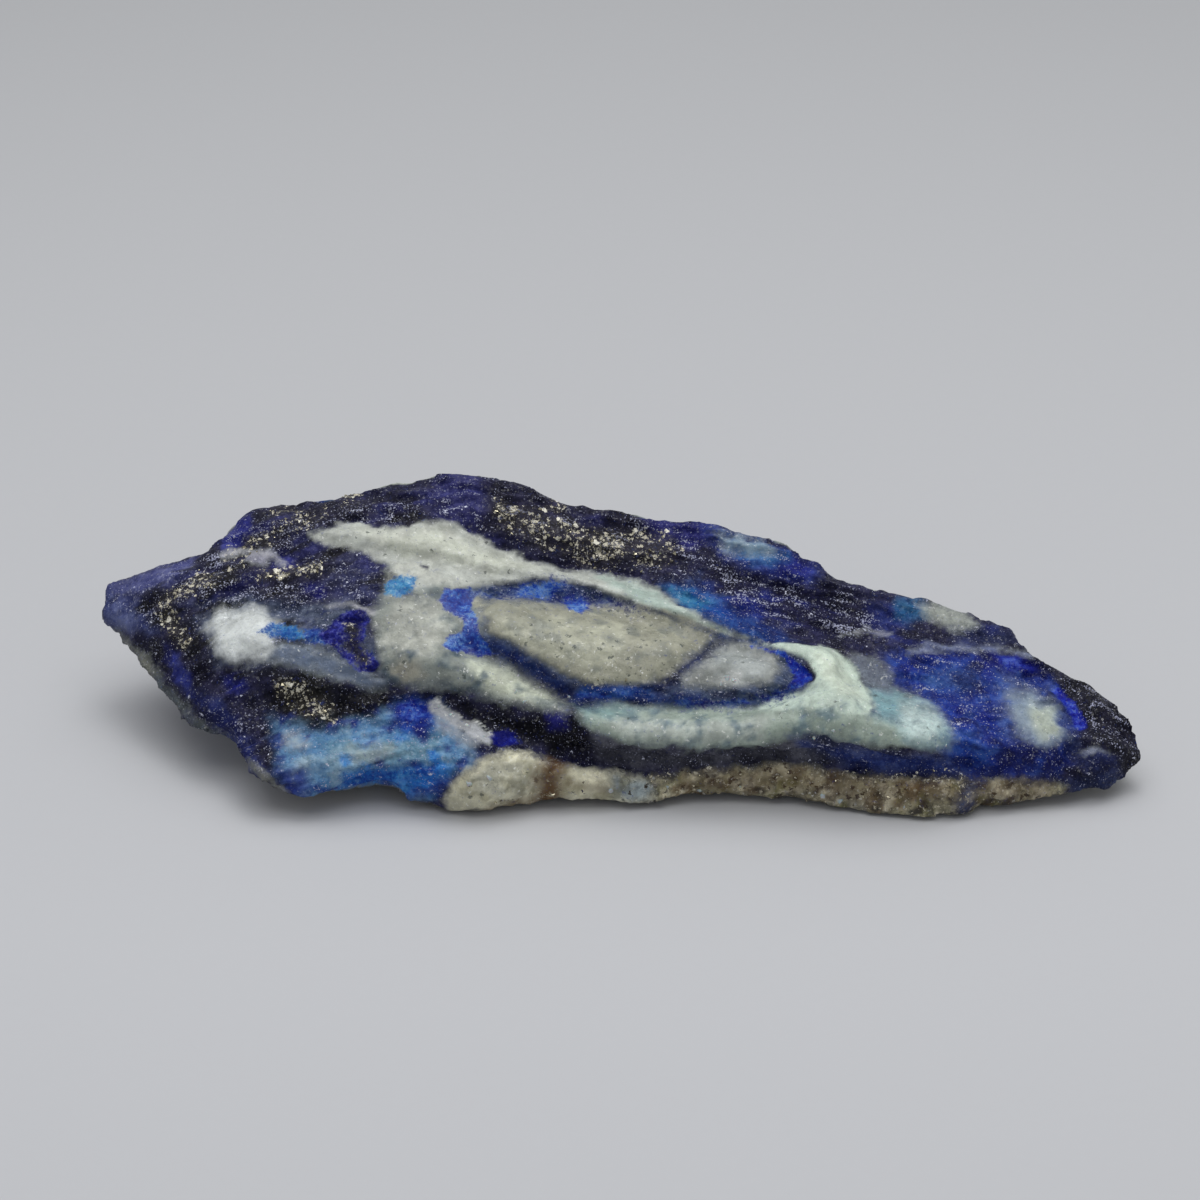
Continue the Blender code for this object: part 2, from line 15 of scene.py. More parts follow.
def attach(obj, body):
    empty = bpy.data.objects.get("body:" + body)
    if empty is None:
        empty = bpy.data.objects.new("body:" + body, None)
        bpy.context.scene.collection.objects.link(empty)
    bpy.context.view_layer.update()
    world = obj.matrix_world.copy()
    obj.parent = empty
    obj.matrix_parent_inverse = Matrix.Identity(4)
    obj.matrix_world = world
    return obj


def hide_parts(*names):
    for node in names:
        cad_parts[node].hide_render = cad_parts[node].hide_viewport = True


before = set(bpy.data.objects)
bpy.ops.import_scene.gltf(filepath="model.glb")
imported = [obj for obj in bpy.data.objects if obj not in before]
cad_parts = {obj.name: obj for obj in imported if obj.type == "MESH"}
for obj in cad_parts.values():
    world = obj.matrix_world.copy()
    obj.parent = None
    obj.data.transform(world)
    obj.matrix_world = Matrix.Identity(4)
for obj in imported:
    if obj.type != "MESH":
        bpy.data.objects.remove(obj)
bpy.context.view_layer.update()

MM = 0.001

# The camera. It stands in front of the stone's long side and looks 32 degrees down, from far
# enough away that the stone is drawn almost without perspective, as a close-up lens draws it.

CAMERA_DOWN = math.radians(32.0)
CAMERA_AWAY = 231.0 * MM
LENS_MM = 100.0
SENSOR_MM = 36.0
LOOKS_AT = Vector((-1.01, 6.7, 6.1)) * MM

to_camera = Vector((0.0, -math.cos(CAMERA_DOWN), math.sin(CAMERA_DOWN)))
camera_data = bpy.data.cameras.new("camera")
camera_data.lens = LENS_MM
camera_data.sensor_width = SENSOR_MM
camera_data.clip_start = 0.01
camera = bpy.data.objects.new("camera", camera_data)
camera.location = LOOKS_AT + CAMERA_AWAY * to_camera
camera.rotation_euler = to_camera.to_track_quat("Z", "Y").to_euler()
bpy.context.scene.collection.objects.link(camera)
bpy.context.scene.camera = camera

# The stone: one natural piece of calcite marble with blue and black minerals grown through it,
# broken out of the rock and worn a little by handling. Its skin has no flat facets, so this copy
# of the solid is meshed finely enough to carry single grains.

SKIN_MESH = 0.21 * MM
ROUNDING_STEPS = 8
KEEPS_SIZE = -0.53
# One sharp corner under the pointed end is worn down.
SHARP_CORNER = np.array([-27.5, -6.3, 2.9]) * MM
CORNER_WEAR = 1.3 * MM
CORNER_STEPS = 120


def copied(node_name, piece_name):
    """A piece with the same mesh as a node of the frame."""
    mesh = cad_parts[node_name].data.copy()
    mesh.materials.clear()
    piece = bpy.data.objects.new(piece_name, mesh)
    bpy.context.scene.collection.objects.link(piece)
    return piece


def remeshed(piece, voxel):
    """Gives the piece an even mesh of this size in place of its long and short triangles."""
    bm = bmesh.new()
    bm.from_mesh(piece.data)
    bmesh.ops.remove_doubles(bm, verts=bm.verts, dist=1e-7)
    bm.to_mesh(piece.data)
    bm.free()
    even = piece.modifiers.new("even", "REMESH")
    even.mode = "VOXEL"
    even.voxel_size = voxel
    graph = bpy.context.evaluated_depsgraph_get()
    mesh = bpy.data.meshes.new_from_object(piece.evaluated_get(graph))
    piece.modifiers.clear()
    piece.data = mesh


def points_of(piece):
    """The piece's points, as an array with a row for each."""
    found = np.empty(len(piece.data.vertices) * 3, np.float32)
    piece.data.vertices.foreach_get("co", found)
    return found.reshape(-1, 3).astype(float)


def normals_of(piece):
    """The way the skin faces at each of the piece's points."""
    found = np.empty(len(piece.data.vertices) * 3, np.float32)
    piece.data.vertices.foreach_get("normal", found)
    return found.reshape(-1, 3).astype(float)


def put_points(piece, places):
    piece.data.vertices.foreach_set("co", places.astype(np.float32).ravel())
    piece.data.update()


def mixed_with_neighbours(piece, values, amounts):
    """The values, mixed with their neighbours' along the mesh's edges, once for each amount."""
    ends = np.empty(len(piece.data.edges) * 2, np.int32)
    piece.data.edges.foreach_get("vertices", ends)
    a, b = ends.reshape(-1, 2).T
    neighbours = np.bincount(ends, minlength=len(values))[:, None]
    values = values.reshape(len(values), -1)
    for amount in amounts:
        total = np.zeros_like(values)
        for axis in range(values.shape[1]):
            total[:, axis] += np.bincount(a, values[b, axis], len(values))
            total[:, axis] += np.bincount(b, values[a, axis], len(values))
        values = values + amount * (total / neighbours - values)
    return values


stone = copied("afghanite_stone", "stone_skin")
remeshed(stone, SKIN_MESH)
put_points(stone, mixed_with_neighbours(stone, points_of(stone), [0.5, KEEPS_SIZE] * ROUNDING_STEPS))
points = points_of(stone)
worn_down = mixed_with_neighbours(stone, points, [0.5] * CORNER_STEPS)
on_corner = np.clip(1.5 - np.linalg.norm(points - SHARP_CORNER, axis=1) / CORNER_WEAR, 0, 1)[:, None]
put_points(stone, points + on_corner * (worn_down - points))
points = points_of(stone)
normals = normals_of(stone)

# The outlines of the minerals, as pixels of the photograph, which is 1200 pixels square. Each
# point of the skin is seen through the camera, and its distance from an outline is measured there.

PHOTO_SIDE = 1200

# The rock's layers climb from the pointed end to the crest and fall from there to the blunt end:
# their height in millimetres at places along the stone.
LAYERS_CLIMB = [
    (-36, -0.5), (-26, 3.6), (-18, 6.6), (-10, 7.6), (0, 5.8), (14, 2.0), (28, -2.4), (37, -7.0),
]
DRAWN_OUT = 0.38
UPWARD = np.array([0.0, math.sin(CAMERA_DOWN), math.cos(CAMERA_DOWN)])


def cloud(places, size, octaves, seed):
    """Smooth random numbers, mostly from -1 to 1, that change over this many metres."""
    shift = Vector((seed * 17.3, seed * 5.9, seed * 11.1))
    return np.array([noise.fractal(Vector(p) / size + shift, 0.9, 2.0, octaves) for p in places])


def seen_at(places):
    """The pixels of the photograph at which places on the stone are seen."""
    right = np.array([1.0, 0.0, 0.0])
    back = np.array(to_camera)
    up = np.cross(back, right)
    offset = places - np.array(camera.location)
    scale = PHOTO_SIDE * LENS_MM / SENSOR_MM / -(offset @ back)
    return np.stack([PHOTO_SIDE / 2 + offset @ right * scale, PHOTO_SIDE / 2 - offset @ up * scale], 1)


pixels = seen_at(points)
MM_IN_PIXELS = PHOTO_SIDE * LENS_MM / SENSOR_MM / (CAMERA_AWAY / MM)
climb = np.interp(points[:, 0] / MM, *zip(*LAYERS_CLIMB)) * MM
drawn_out = points - climb[:, None] * UPWARD
drawn_out[:, 0] *= DRAWN_OUT
wander = 0.7 * cloud(points, 1.0 * MM, 4, 6.0) + 0.5 * cloud(drawn_out, 3.0 * MM, 2, 7.0)


def gap_to(a, b):
    """How many millimetres of the picture each point of the skin is from the line from a to b."""
    a, b = np.array(a, float), np.array(b, float)
    run = b - a
    t = np.clip((pixels - a) @ run / max(run @ run, 1e-9), 0, 1)
    return np.linalg.norm(pixels - a - t[:, None] * run, axis=1) / MM_IN_PIXELS


def share(depth, soft):
    """0 outside and 1 inside an outline, changing over this many mm to each side of it."""
    t = np.clip(0.5 + (depth + (0.15 + 0.5 * soft) * wander) / (2 * soft), 0, 1)
    return t * t * (3 - 2 * t)


def patch(outline, soft=0.5):
    """How much of each point of the skin is inside a closed outline."""
    gap = np.full(len(pixels), np.inf)
    inside = np.zeros(len(pixels), bool)
    for a, b in zip(outline, outline[1:] + outline[:1]):
        gap = np.minimum(gap, gap_to(a, b))
        crosses = (a[1] > pixels[:, 1]) != (b[1] > pixels[:, 1])
        at = a[0] + (pixels[:, 1] - a[1]) * (b[0] - a[0]) / ((b[1] - a[1]) or 1e-9)
        inside ^= crosses & (pixels[:, 0] < at)
    return share(np.where(inside, gap, -gap), soft)


def stroke(line, width, soft=0.4):
    """How much of each point of the skin is in a line this many millimetres wide."""
    gap = np.min([gap_to(a, b) for a, b in zip(line, line[1:])], axis=0)
    return share(width / 2 - gap, soft)


def linear(hex_colour):
    """A colour's amounts of light, from its sRGB hex."""
    levels = [int(hex_colour[i:i + 2], 16) / 255 for i in (1, 3, 5)]
    return [c / 12.92 if c <= 0.04045 else ((c + 0.055) / 1.055) ** 2.4 for c in levels]


def paint(tones, colour, amount):
    """Lays a colour over the tones at each point, by an amount from 0 to 1."""
    tones += (np.array(linear(colour)) - tones) * amount[:, None]


# The dark rock, fine grains of blue and black minerals in thin layers. Its tone goes from almost
# black in the hollows, through purple and navy, to azure where the blue grains lie in calcite.

ROCK_BASE = "#2a2a4c"
# Each zone is a colour, how much of it is laid, how many millimetres its border is soft over, and
# its outline.
ROCK_ZONES = [
    # The pointed end: dark layers, a lilac upper edge, a slate-blue tip and flank.
    ("#2c2b48", 1.0, 1.2, [
        (100, 560), (220, 530), (300, 500), (420, 490), (450, 520), (400, 560), (380, 600), (330, 640),
        (300, 670), (210, 700), (130, 650),
    ]),
    # The lilac upper edge: the rock's colour, lightened with painted sheen.
    ("#7075a6", 0.9, 0.5, [
        (100, 602), (112, 588), (130, 578), (160, 566), (190, 560), (194, 573), (168, 585), (142, 597),
        (120, 614),
    ]),
    ("#626b98", 0.9, 0.5, [(100, 598), (122, 596), (150, 610), (156, 632), (132, 634), (112, 626)]),
    ("#2f3a92", 0.8, 0.4, [(163, 644), (176, 650), (190, 676), (188, 694), (174, 680)]),
    ("#2e3f86", 0.7, 0.7, [(184, 690), (216, 700), (252, 742), (262, 772), (226, 744)]),
    ("#484ea0", 0.9, 0.3, [(221, 551), (226, 530), (238, 518), (250, 515), (252, 530), (238, 549)]),
    ("#2a2b84", 0.9, 0.35, [(272, 552), (288, 551), (292, 563), (280, 569), (270, 562)]),
    ("#272a84", 0.9, 0.35, [(300, 583), (316, 581), (326, 590), (320, 598), (304, 594)]),
    ("#27308c", 0.9, 0.5, [(222, 676), (240, 674), (246, 688), (230, 694)]),
    ("#3a3f66", 0.8, 0.8, [(336, 560), (372, 566), (384, 584), (380, 606), (350, 606), (332, 584)]),
    ("#4d5878", 0.8, 0.6, [(196, 606), (250, 594), (300, 606), (340, 612), (320, 632), (270, 612)]),
    # Under and round the white marble, where thin calcite lies over blue.
    ("#5d6a84", 0.9, 0.9, [
        (384, 590), (450, 586), (520, 576), (600, 584), (680, 612), (740, 640), (800, 646), (806, 690),
        (700, 700), (600, 700), (540, 676), (470, 650), (440, 690), (380, 680),
    ]),
    ("#6a7488", 0.8, 0.8, [
        (200, 618), (240, 600), (290, 604), (350, 604), (380, 660), (370, 690), (290, 668), (214, 664),
    ]),
    ("#4f6688", 0.8, 0.7, [
        (574, 700), (700, 698), (860, 690), (950, 712), (956, 744), (860, 740), (700, 746), (600, 736),
    ]),
    # The crest: purple, then black with brassy grains, then blue to the blunt end.
    ("#3c3d74", 1.0, 0.6, [(434, 478), (482, 474), (486, 508), (478, 530), (440, 522), (428, 500)]),
    ("#2b2940", 0.9, 0.8, [
        (486, 482), (540, 496), (600, 508), (650, 514), (684, 540), (660, 566), (590, 560),
        (530, 542), (490, 524),
    ]),
    ("#3a3c86", 0.9, 0.6, [(640, 512), (712, 522), (716, 536), (690, 546), (650, 534)]),
    ("#304594", 1.0, 0.6, [
        (700, 522), (740, 528), (800, 552), (822, 572), (812, 584), (770, 580), (722, 556),
    ]),
    ("#27318c", 1.0, 0.5, [(772, 558), (800, 556), (816, 570), (806, 582), (782, 576)]),
    ("#5a92c0", 0.8, 0.6, [(722, 534), (760, 540), (788, 556), (770, 566), (740, 558)]),
    ("#20204a", 0.8, 0.7, [(690, 585), (760, 570), (830, 590), (860, 620), (820, 640), (750, 620)]),
    ("#2b3a84", 0.8, 0.6, [(866, 606), (905, 602), (914, 622), (890, 634), (868, 626)]),
    ("#3f79a8", 0.9, 0.5, [(896, 600), (926, 600), (930, 616), (912, 622), (896, 616)]),
    ("#50587e", 0.9, 0.6, [(948, 624), (1000, 622), (1018, 644), (980, 650), (952, 646)]),
    # The blue slope under the crest.
    ("#3a6cb6", 1.0, 0.7, [
        (662, 584), (694, 582), (728, 598), (760, 622), (782, 640), (752, 642), (716, 624), (684, 606),
    ]),
    ("#4288b0", 0.9, 0.5, [(664, 586), (692, 586), (714, 602), (700, 612), (680, 604)]),
    ("#203a80", 0.8, 0.6, [(716, 600), (750, 606), (790, 634), (770, 642), (740, 630)]),
    # The blue body of the blunt end.
    ("#2543a0", 1.0, 0.8, [
        (884, 652), (940, 648), (1000, 658), (1050, 676), (1078, 724), (1060, 770), (980, 776),
        (944, 764), (952, 728), (930, 700), (896, 680),
    ]),
    ("#3a5c9c", 0.8, 0.6, [(920, 660), (972, 664), (990, 684), (960, 700), (926, 690)]),
    ("#34489c", 0.7, 0.4, [(948, 692), (980, 694), (992, 712), (966, 718)]),
    ("#1a2a84", 1.0, 0.4, [(984, 652), (1020, 654), (1046, 670), (1030, 678), (1000, 672)]),
    ("#5d6a92", 0.9, 0.8, [(996, 674), (1030, 680), (1062, 700), (1078, 742), (1030, 752), (1002, 722)]),
    ("#18256c", 0.9, 0.6, [(990, 742), (1040, 748), (1072, 762), (1050, 774), (1000, 768)]),
    ("#2a50a4", 0.9, 0.5, [(936, 736), (964, 736), (990, 752), (984, 768), (952, 768)]),
    ("#242338", 1.0, 0.4, [
        (1050, 668), (1078, 672), (1108, 694), (1136, 724), (1150, 770), (1130, 778), (1100, 752),
        (1084, 724), (1066, 694),
    ]),
    ("#26305f", 0.9, 0.4, [(1072, 752), (1100, 748), (1120, 760), (1118, 774), (1090, 774)]),
    ("#3c4a74", 0.8, 0.5, [(1066, 780), (1100, 774), (1146, 776), (1144, 798), (1080, 800)]),
    # The black hollow, and the veins between the white rolls and over the foot.
    # Dark rock with painted shade, in the valley under the white marble.
    ("#0f0f22", 1.0, 0.7, [
        (262, 690), (300, 672), (352, 688), (400, 694), (440, 690), (500, 712), (545, 716), (580, 730),
        (600, 748), (560, 752), (500, 730), (470, 722), (440, 704), (404, 702), (380, 722), (340, 734),
        (300, 728), (266, 712),
    ]),
    ("#2a2926", 0.7, 0.6, [(278, 674), (322, 676), (336, 700), (330, 726), (300, 722), (282, 704)]),
    ("#282a86", 0.8, 0.4, [(544, 712), (564, 712), (566, 728), (550, 730)]),
    # Dark vein under the lower white roll, with painted shade from the roll's overhang.
    ("#5c5d68", 1.0, 0.6, [
        (590, 728), (640, 744), (700, 750), (742, 748), (800, 736), (850, 746), (900, 754), (944, 758),
        (960, 772), (900, 768), (840, 764), (760, 760), (700, 768), (640, 768), (600, 760),
    ]),
    ("#354a8e", 0.9, 0.6, [
        (800, 742), (844, 748), (900, 756), (950, 760), (956, 776), (900, 774), (850, 768),
    ]),
    ("#3a4f82", 0.8, 0.5, [(948, 786), (996, 784), (1000, 802), (962, 812), (944, 804)]),
    # The blue lower left.
    ("#80a8cb", 1.0, 0.8, [
        (270, 718), (310, 728), (370, 720), (404, 704), (440, 706), (466, 736), (474, 764), (440, 784),
        (432, 800), (370, 800), (296, 804), (280, 776),
    ]),
    ("#2a48a4", 1.0, 0.5, [(392, 706), (412, 696), (432, 702), (436, 724), (420, 738), (398, 728)]),
    ("#1f2f86", 0.9, 0.5, [(276, 770), (300, 764), (312, 780), (306, 800), (284, 798)]),
    ("#3a82cc", 0.9, 0.5, [(336, 776), (380, 766), (436, 764), (430, 784), (380, 792), (336, 792)]),
    ("#2c52b0", 0.8, 0.5, [(400, 780), (436, 772), (452, 780), (440, 798), (404, 798)]),
    ("#86a8b8", 0.8, 0.7, [
        (316, 740), (350, 738), (400, 740), (440, 736), (446, 756), (390, 768), (330, 764),
    ]),
    # Navy rock with blue-black painted shade in the groove under the lens, and the vein that parts
    # the two lenses.
    ("#1c326e", 1.0, 0.5, [
        (478, 638), (506, 642), (546, 668), (574, 690), (640, 698), (700, 694), (700, 704), (600, 704),
        (560, 694), (520, 668), (488, 652),
    ]),
    ("#2c56a0", 0.9, 0.4, [(584, 684), (620, 684), (656, 686), (650, 700), (600, 700), (578, 694)]),
    ("#2a3560", 1.0, 0.5, [
        (644, 690), (664, 674), (690, 656), (716, 640), (724, 646), (700, 666), (664, 692),
    ]),
]
rock = np.tile(linear(ROCK_BASE), (len(points), 1))
for colour, amount, soft, outline in ROCK_ZONES:
    paint(rock, colour, amount * patch(outline, soft))

# Clouds of another tone: colour, size in millimetres, seed, how much, whether they are round or
# drawn out along the layers, outline.
BLUE_BODY = [(884, 652), (1000, 658), (1060, 690), (1070, 770), (950, 770), (920, 690)]
ROCK_CLOUDS = [
    ("#16308e", 1.3, 21.0, 0.8, points, [(262, 716), (440, 700), (476, 760), (440, 804), (290, 804)]),
    ("#a3bccb", 1.5, 22.0, 0.8, points, [(290, 724), (420, 726), (440, 780), (340, 796), (296, 780)]),
    ("#3f8fd6", 1.6, 23.0, 0.8, points, [(300, 740), (440, 730), (470, 770), (430, 800), (310, 800)]),
    ("#121f5c", 1.8, 24.0, 0.7, points, BLUE_BODY),
    ("#4468b8", 1.4, 25.0, 0.6, points, BLUE_BODY),
    ("#3a3f8c", 1.8, 26.0, 0.45, drawn_out, [
        (110, 600), (240, 520), (440, 480), (640, 510), (560, 540), (300, 600),
    ]),
    ("#5b608c", 1.4, 27.0, 0.5, drawn_out, [
        (110, 600), (300, 510), (380, 560), (380, 600), (300, 660), (160, 640),
    ]),
    ("#14121c", 1.2, 29.0, 0.85, drawn_out, [
        (120, 600), (240, 530), (440, 480), (420, 560), (380, 600), (240, 690), (170, 650),
    ]),
    ("#2c3f9c", 1.8, 28.0, 0.7, drawn_out, [
        (680, 560), (860, 580), (1000, 620), (1000, 650), (800, 640), (700, 600),
    ]),
]


def paint_clouds(tones, clouds):
    """Paints each of these clouds inside its outline."""
    for colour, size, seed, amount, places, outline in clouds:
        clouded = np.clip(cloud(places, size * MM, 4, seed) * 2.2 - 0.2, 0, 1)
        paint(tones, colour, amount * clouded * patch(outline, 1.0))


paint_clouds(rock, ROCK_CLOUDS)

# Calcite marble, the ground mass: sugary grains half a millimetre across, greenish or grey where
# other grains lie under them, laid bare in rolls, in the ridge and in the broken slab, and stained
# olive and brown along the foot.

MARBLE_BASE = "#a9b0a8"
# As for the rock, but the second number is how much calcite shows there.
MARBLE_ZONES = [
    # The white patch and the ridge that narrows from it.
    ("#bec2ba", 1.0, 0.32, [
        (308, 534), (334, 527), (358, 521), (377, 527), (398, 528), (418, 522), (446, 522), (466, 530),
        (500, 547), (540, 562), (580, 571), (612, 576), (640, 580), (664, 592), (690, 610), (722, 628),
        (764, 640), (740, 640), (700, 626), (660, 611), (628, 600), (600, 590), (575, 578), (540, 578),
        (500, 583), (470, 587), (440, 592), (420, 598), (396, 576), (384, 562), (350, 550), (322, 545),
    ]),
    ("#cfd3c4", 0.8, 0.6, [
        (360, 532), (440, 530), (474, 546), (540, 566), (500, 572), (440, 562), (390, 552),
    ]),
    ("#b2c4ba", 0.9, 0.5, [
        (600, 576), (640, 582), (664, 594), (700, 618), (760, 640), (700, 628), (640, 604),
    ]),
    # The pale saddle, with the roll that runs down from it beside the lens.
    ("#8f968f", 0.95, 0.7, [
        (386, 566), (402, 598), (440, 590), (482, 594), (484, 640), (490, 654), (510, 660), (536, 680),
        (576, 702), (560, 712), (530, 706), (500, 704), (466, 692), (426, 688), (396, 686), (380, 672),
        (374, 640), (370, 616), (380, 600),
    ]),
    ("#adb0a6", 0.8, 0.6, [(398, 600), (440, 598), (444, 640), (420, 664), (388, 660), (384, 620)]),
    ("#a3a192", 0.8, 0.5, [(384, 664), (412, 660), (426, 676), (400, 686), (384, 680)]),
    ("#ccd2be", 0.8, 0.5, [(470, 660), (510, 668), (556, 694), (540, 704), (500, 694), (472, 680)]),
    # The mound at the pointed end, with its grey-blue tail.
    ("#66758c", 0.80, 0.6, [
        (258, 640), (290, 642), (322, 648), (344, 660), (378, 674), (394, 684), (372, 691), (340, 680),
        (310, 670), (282, 664), (258, 660),
    ]),
    ("#dde2e0", 1.0, 0.85, [
        (210, 630), (222, 614), (244, 607), (264, 612), (276, 624), (274, 644), (258, 660), (234, 663),
        (216, 652),
    ]),
    ("#9a9aae", 0.85, 0.3, [(246, 560), (254, 552), (270, 550), (278, 556), (262, 564)]),
    # The clear crystals that stand on the blue, and the grey marble they grow from.
    ("#8d949c", 0.70, 0.5, [
        (434, 712), (450, 720), (470, 732), (484, 742), (470, 748), (448, 738), (436, 726),
    ]),
    ("#b3b6ba", 0.85, 0.18, [
        (427, 702), (440, 699), (447, 708), (457, 711), (463, 720), (477, 722), (484, 731), (495, 737),
        (488, 745), (471, 738), (459, 731), (449, 722), (437, 717), (429, 711),
    ]),
    # The two white rolls below the lens, aqua where they sink into the blue.
    ("#9dab9f", 1.0, 0.50, [
        (576, 704), (600, 702), (640, 704), (690, 706), (722, 707), (760, 704), (800, 696), (845, 702),
        (875, 716), (905, 722), (944, 738), (944, 746), (900, 748), (860, 744), (820, 734), (790, 735),
        (750, 746), (700, 748), (650, 745), (618, 740), (594, 728), (580, 716),
    ]),
    ("#b9c2b9", 0.8, 0.5, [
        (604, 716), (646, 716), (700, 722), (770, 718), (760, 736), (690, 742), (630, 738),
    ]),
    ("#8aa7a4", 0.8, 0.5, [(574, 700), (620, 702), (640, 710), (610, 718), (586, 716)]),
    ("#88b0b6", 0.85, 0.8, [
        (866, 684), (896, 686), (930, 704), (952, 728), (948, 748), (920, 746), (896, 726), (872, 712),
    ]),
    ("#c2d6d2", 0.75, 0.6, [(900, 702), (930, 706), (944, 724), (940, 744), (910, 742), (898, 722)]),
    # The greenish slab, its broken end, and the crystals beside it.
    ("#7d8796", 0.66, 0.6, [(848, 654), (874, 656), (892, 672), (890, 690), (866, 686), (854, 674)]),
    ("#c8d8ca", 1.0, 0.22, [
        (756, 642), (790, 643), (834, 648), (846, 659), (861, 680), (875, 706), (868, 714), (838, 712),
        (800, 706), (760, 708), (776, 696), (804, 692), (816, 676), (806, 658), (782, 648),
    ]),
    ("#d6e2d0", 0.8, 0.5, [(816, 652), (836, 656), (858, 688), (862, 700), (838, 694), (822, 674)]),
    # Small white places: on the crest, in the blue blunt end, and at the lower left.
    ("#b2b8ae", 0.86, 0.7, [
        (918, 604), (944, 602), (966, 612), (984, 624), (966, 630), (944, 626), (926, 618),
    ]),
    ("#9fb4b8", 0.62, 0.8, [(712, 530), (738, 530), (766, 540), (776, 552), (752, 556), (724, 548)]),
    ("#8e9fb0", 0.92, 0.7, [
        (1008, 694), (1030, 694), (1054, 708), (1068, 738), (1040, 744), (1018, 726),
    ]),
    ("#b6c0b2", 0.9, 0.5, [(1030, 706), (1048, 708), (1062, 734), (1046, 738), (1032, 724)]),
    ("#9fb0b6", 0.75, 0.7, [(282, 732), (300, 732), (310, 746), (298, 752), (284, 744)]),
    ("#a2b6b8", 0.80, 0.8, [(344, 748), (372, 742), (394, 748), (384, 760), (356, 762)]),
    # The lens of grey-beige marble and the smaller, greyer lens beside it.
    ("#a5a593", 1.0, 0.45, [
        (476, 603), (500, 598), (530, 602), (568, 606), (604, 604), (640, 608), (684, 618), (716, 634),
        (700, 652), (684, 666), (664, 682), (620, 684), (586, 684), (560, 674), (530, 658), (506, 642),
        (484, 634), (488, 620),
    ]),
    ("#b9baa6", 0.8, 0.5, [
        (490, 612), (560, 618), (620, 628), (630, 650), (590, 668), (540, 654), (504, 636),
    ]),
    ("#969a97", 1.0, 0.5, [
        (716, 641), (746, 641), (770, 651), (784, 666), (772, 682), (744, 688), (706, 690), (682, 686),
        (680, 674), (700, 660),
    ]),
    ("#a8aeac", 0.8, 0.5, [(720, 650), (760, 656), (770, 672), (740, 684), (716, 676)]),
    # The sugary foot of the front, and its olive and brown right part.
    ("#dad7bd", 1.0, 0.5, [
        (456, 778), (478, 762), (508, 750), (536, 756), (552, 762), (580, 768), (620, 772), (650, 778),
        (660, 800), (600, 812), (545, 812), (500, 816), (448, 812), (440, 800),
    ]),
    ("#c4c3b0", 0.8, 0.4, [(470, 776), (500, 760), (530, 766), (534, 784), (500, 796), (470, 792)]),
    ("#8f9a9c", 0.8, 0.5, [(612, 776), (650, 778), (664, 790), (640, 802), (612, 800)]),
    ("#969176", 0.95, 0.5, [
        (650, 776), (700, 770), (780, 766), (860, 774), (940, 780), (1000, 778), (1040, 781),
        (1070, 788), (1056, 796), (1020, 806), (960, 822), (900, 826), (820, 808), (740, 804), (664, 806),
    ]),
    ("#a19a80", 0.7, 0.5, [(800, 792), (850, 796), (880, 806), (860, 812), (810, 804)]),
    ("#8a8163", 0.7, 0.4, [(900, 778), (950, 780), (956, 792), (920, 796), (896, 790)]),
]
# Each line is a colour, how much calcite shows, its width, its softness and its points.
MARBLE_LINES = [
    # The greenish-grey strip under the pointed end, darker than the marble above it.
    ("#7c7e72", 0.62, 0.70, 0.5, [(116, 634), (134, 650), (148, 668), (162, 688)]),
    ("#5f6a6c", 0.55, 0.80, 0.6, [(160, 684), (182, 710), (204, 732), (222, 744)]),
    ("#85867c", 0.66, 0.45, 0.3, [(250, 762), (262, 774), (276, 788), (288, 796)]),
    ("#f0f1ee", 0.95, 0.16, 0.10, [
        (436, 700), (447, 708), (458, 712), (463, 720), (478, 722), (494, 737),
    ]),
    ("#c4c4cc", 0.70, 0.30, 0.3, [(222, 556), (240, 550), (262, 552), (282, 561)]),
    ("#a8a8b6", 0.70, 0.35, 0.3, [(840, 635), (866, 630), (890, 634)]),
    ("#8792b4", 0.62, 0.50, 0.5, [(910, 650), (940, 647), (984, 649)]),
    ("#7f8ab0", 0.66, 0.5, 0.5, [(988, 648), (1010, 650), (1030, 656)]),
    ("#b0b0b8", 0.66, 0.25, 0.25, [(326, 606), (350, 604), (372, 612)]),
    ("#a8b0c8", 0.60, 0.22, 0.3, [(1082, 752), (1098, 749), (1108, 753)]),
    ("#c2c5c2", 0.80, 0.5, 0.4, [(724, 680), (738, 676)]),
]
# The dark lines that part the lenses and cross the foot take calcite away, and so do lines of
# painted shade under the lens, under the ridge's edge and above the lower roll: amount, width,
# soft, line.
DARK_AND_SHADE_LINES = [
    # These two: painted shade in the groove under the lens.
    (0.8, 0.50, 0.60, [(478, 638), (506, 646), (526, 658), (546, 673), (568, 688), (590, 694)]),
    (0.85, 1.2, 1.0, [(484, 644), (510, 654), (532, 668), (556, 684), (590, 700)]),
    (0.75, 0.60, 0.75, [(722, 643), (698, 658), (678, 672), (656, 688), (640, 698)]),
    # Painted shade: a thin line under the overhanging edge of the ridge.
    (0.6, 0.14, 0.15, [(660, 612), (688, 626), (714, 634), (740, 640)]),
    (0.8, 0.18, 0.15, [(421, 566), (427, 569)]),
    (0.75, 1.3, 0.8, [(972, 780), (960, 808)]),
    # Painted shade under the lenses, above the lower roll.
    (0.75, 0.8, 0.8, [(640, 700), (680, 695), (712, 697), (750, 694)]),
]
calcite = np.zeros(len(points))
marble = np.tile(linear(MARBLE_BASE), (len(points), 1))
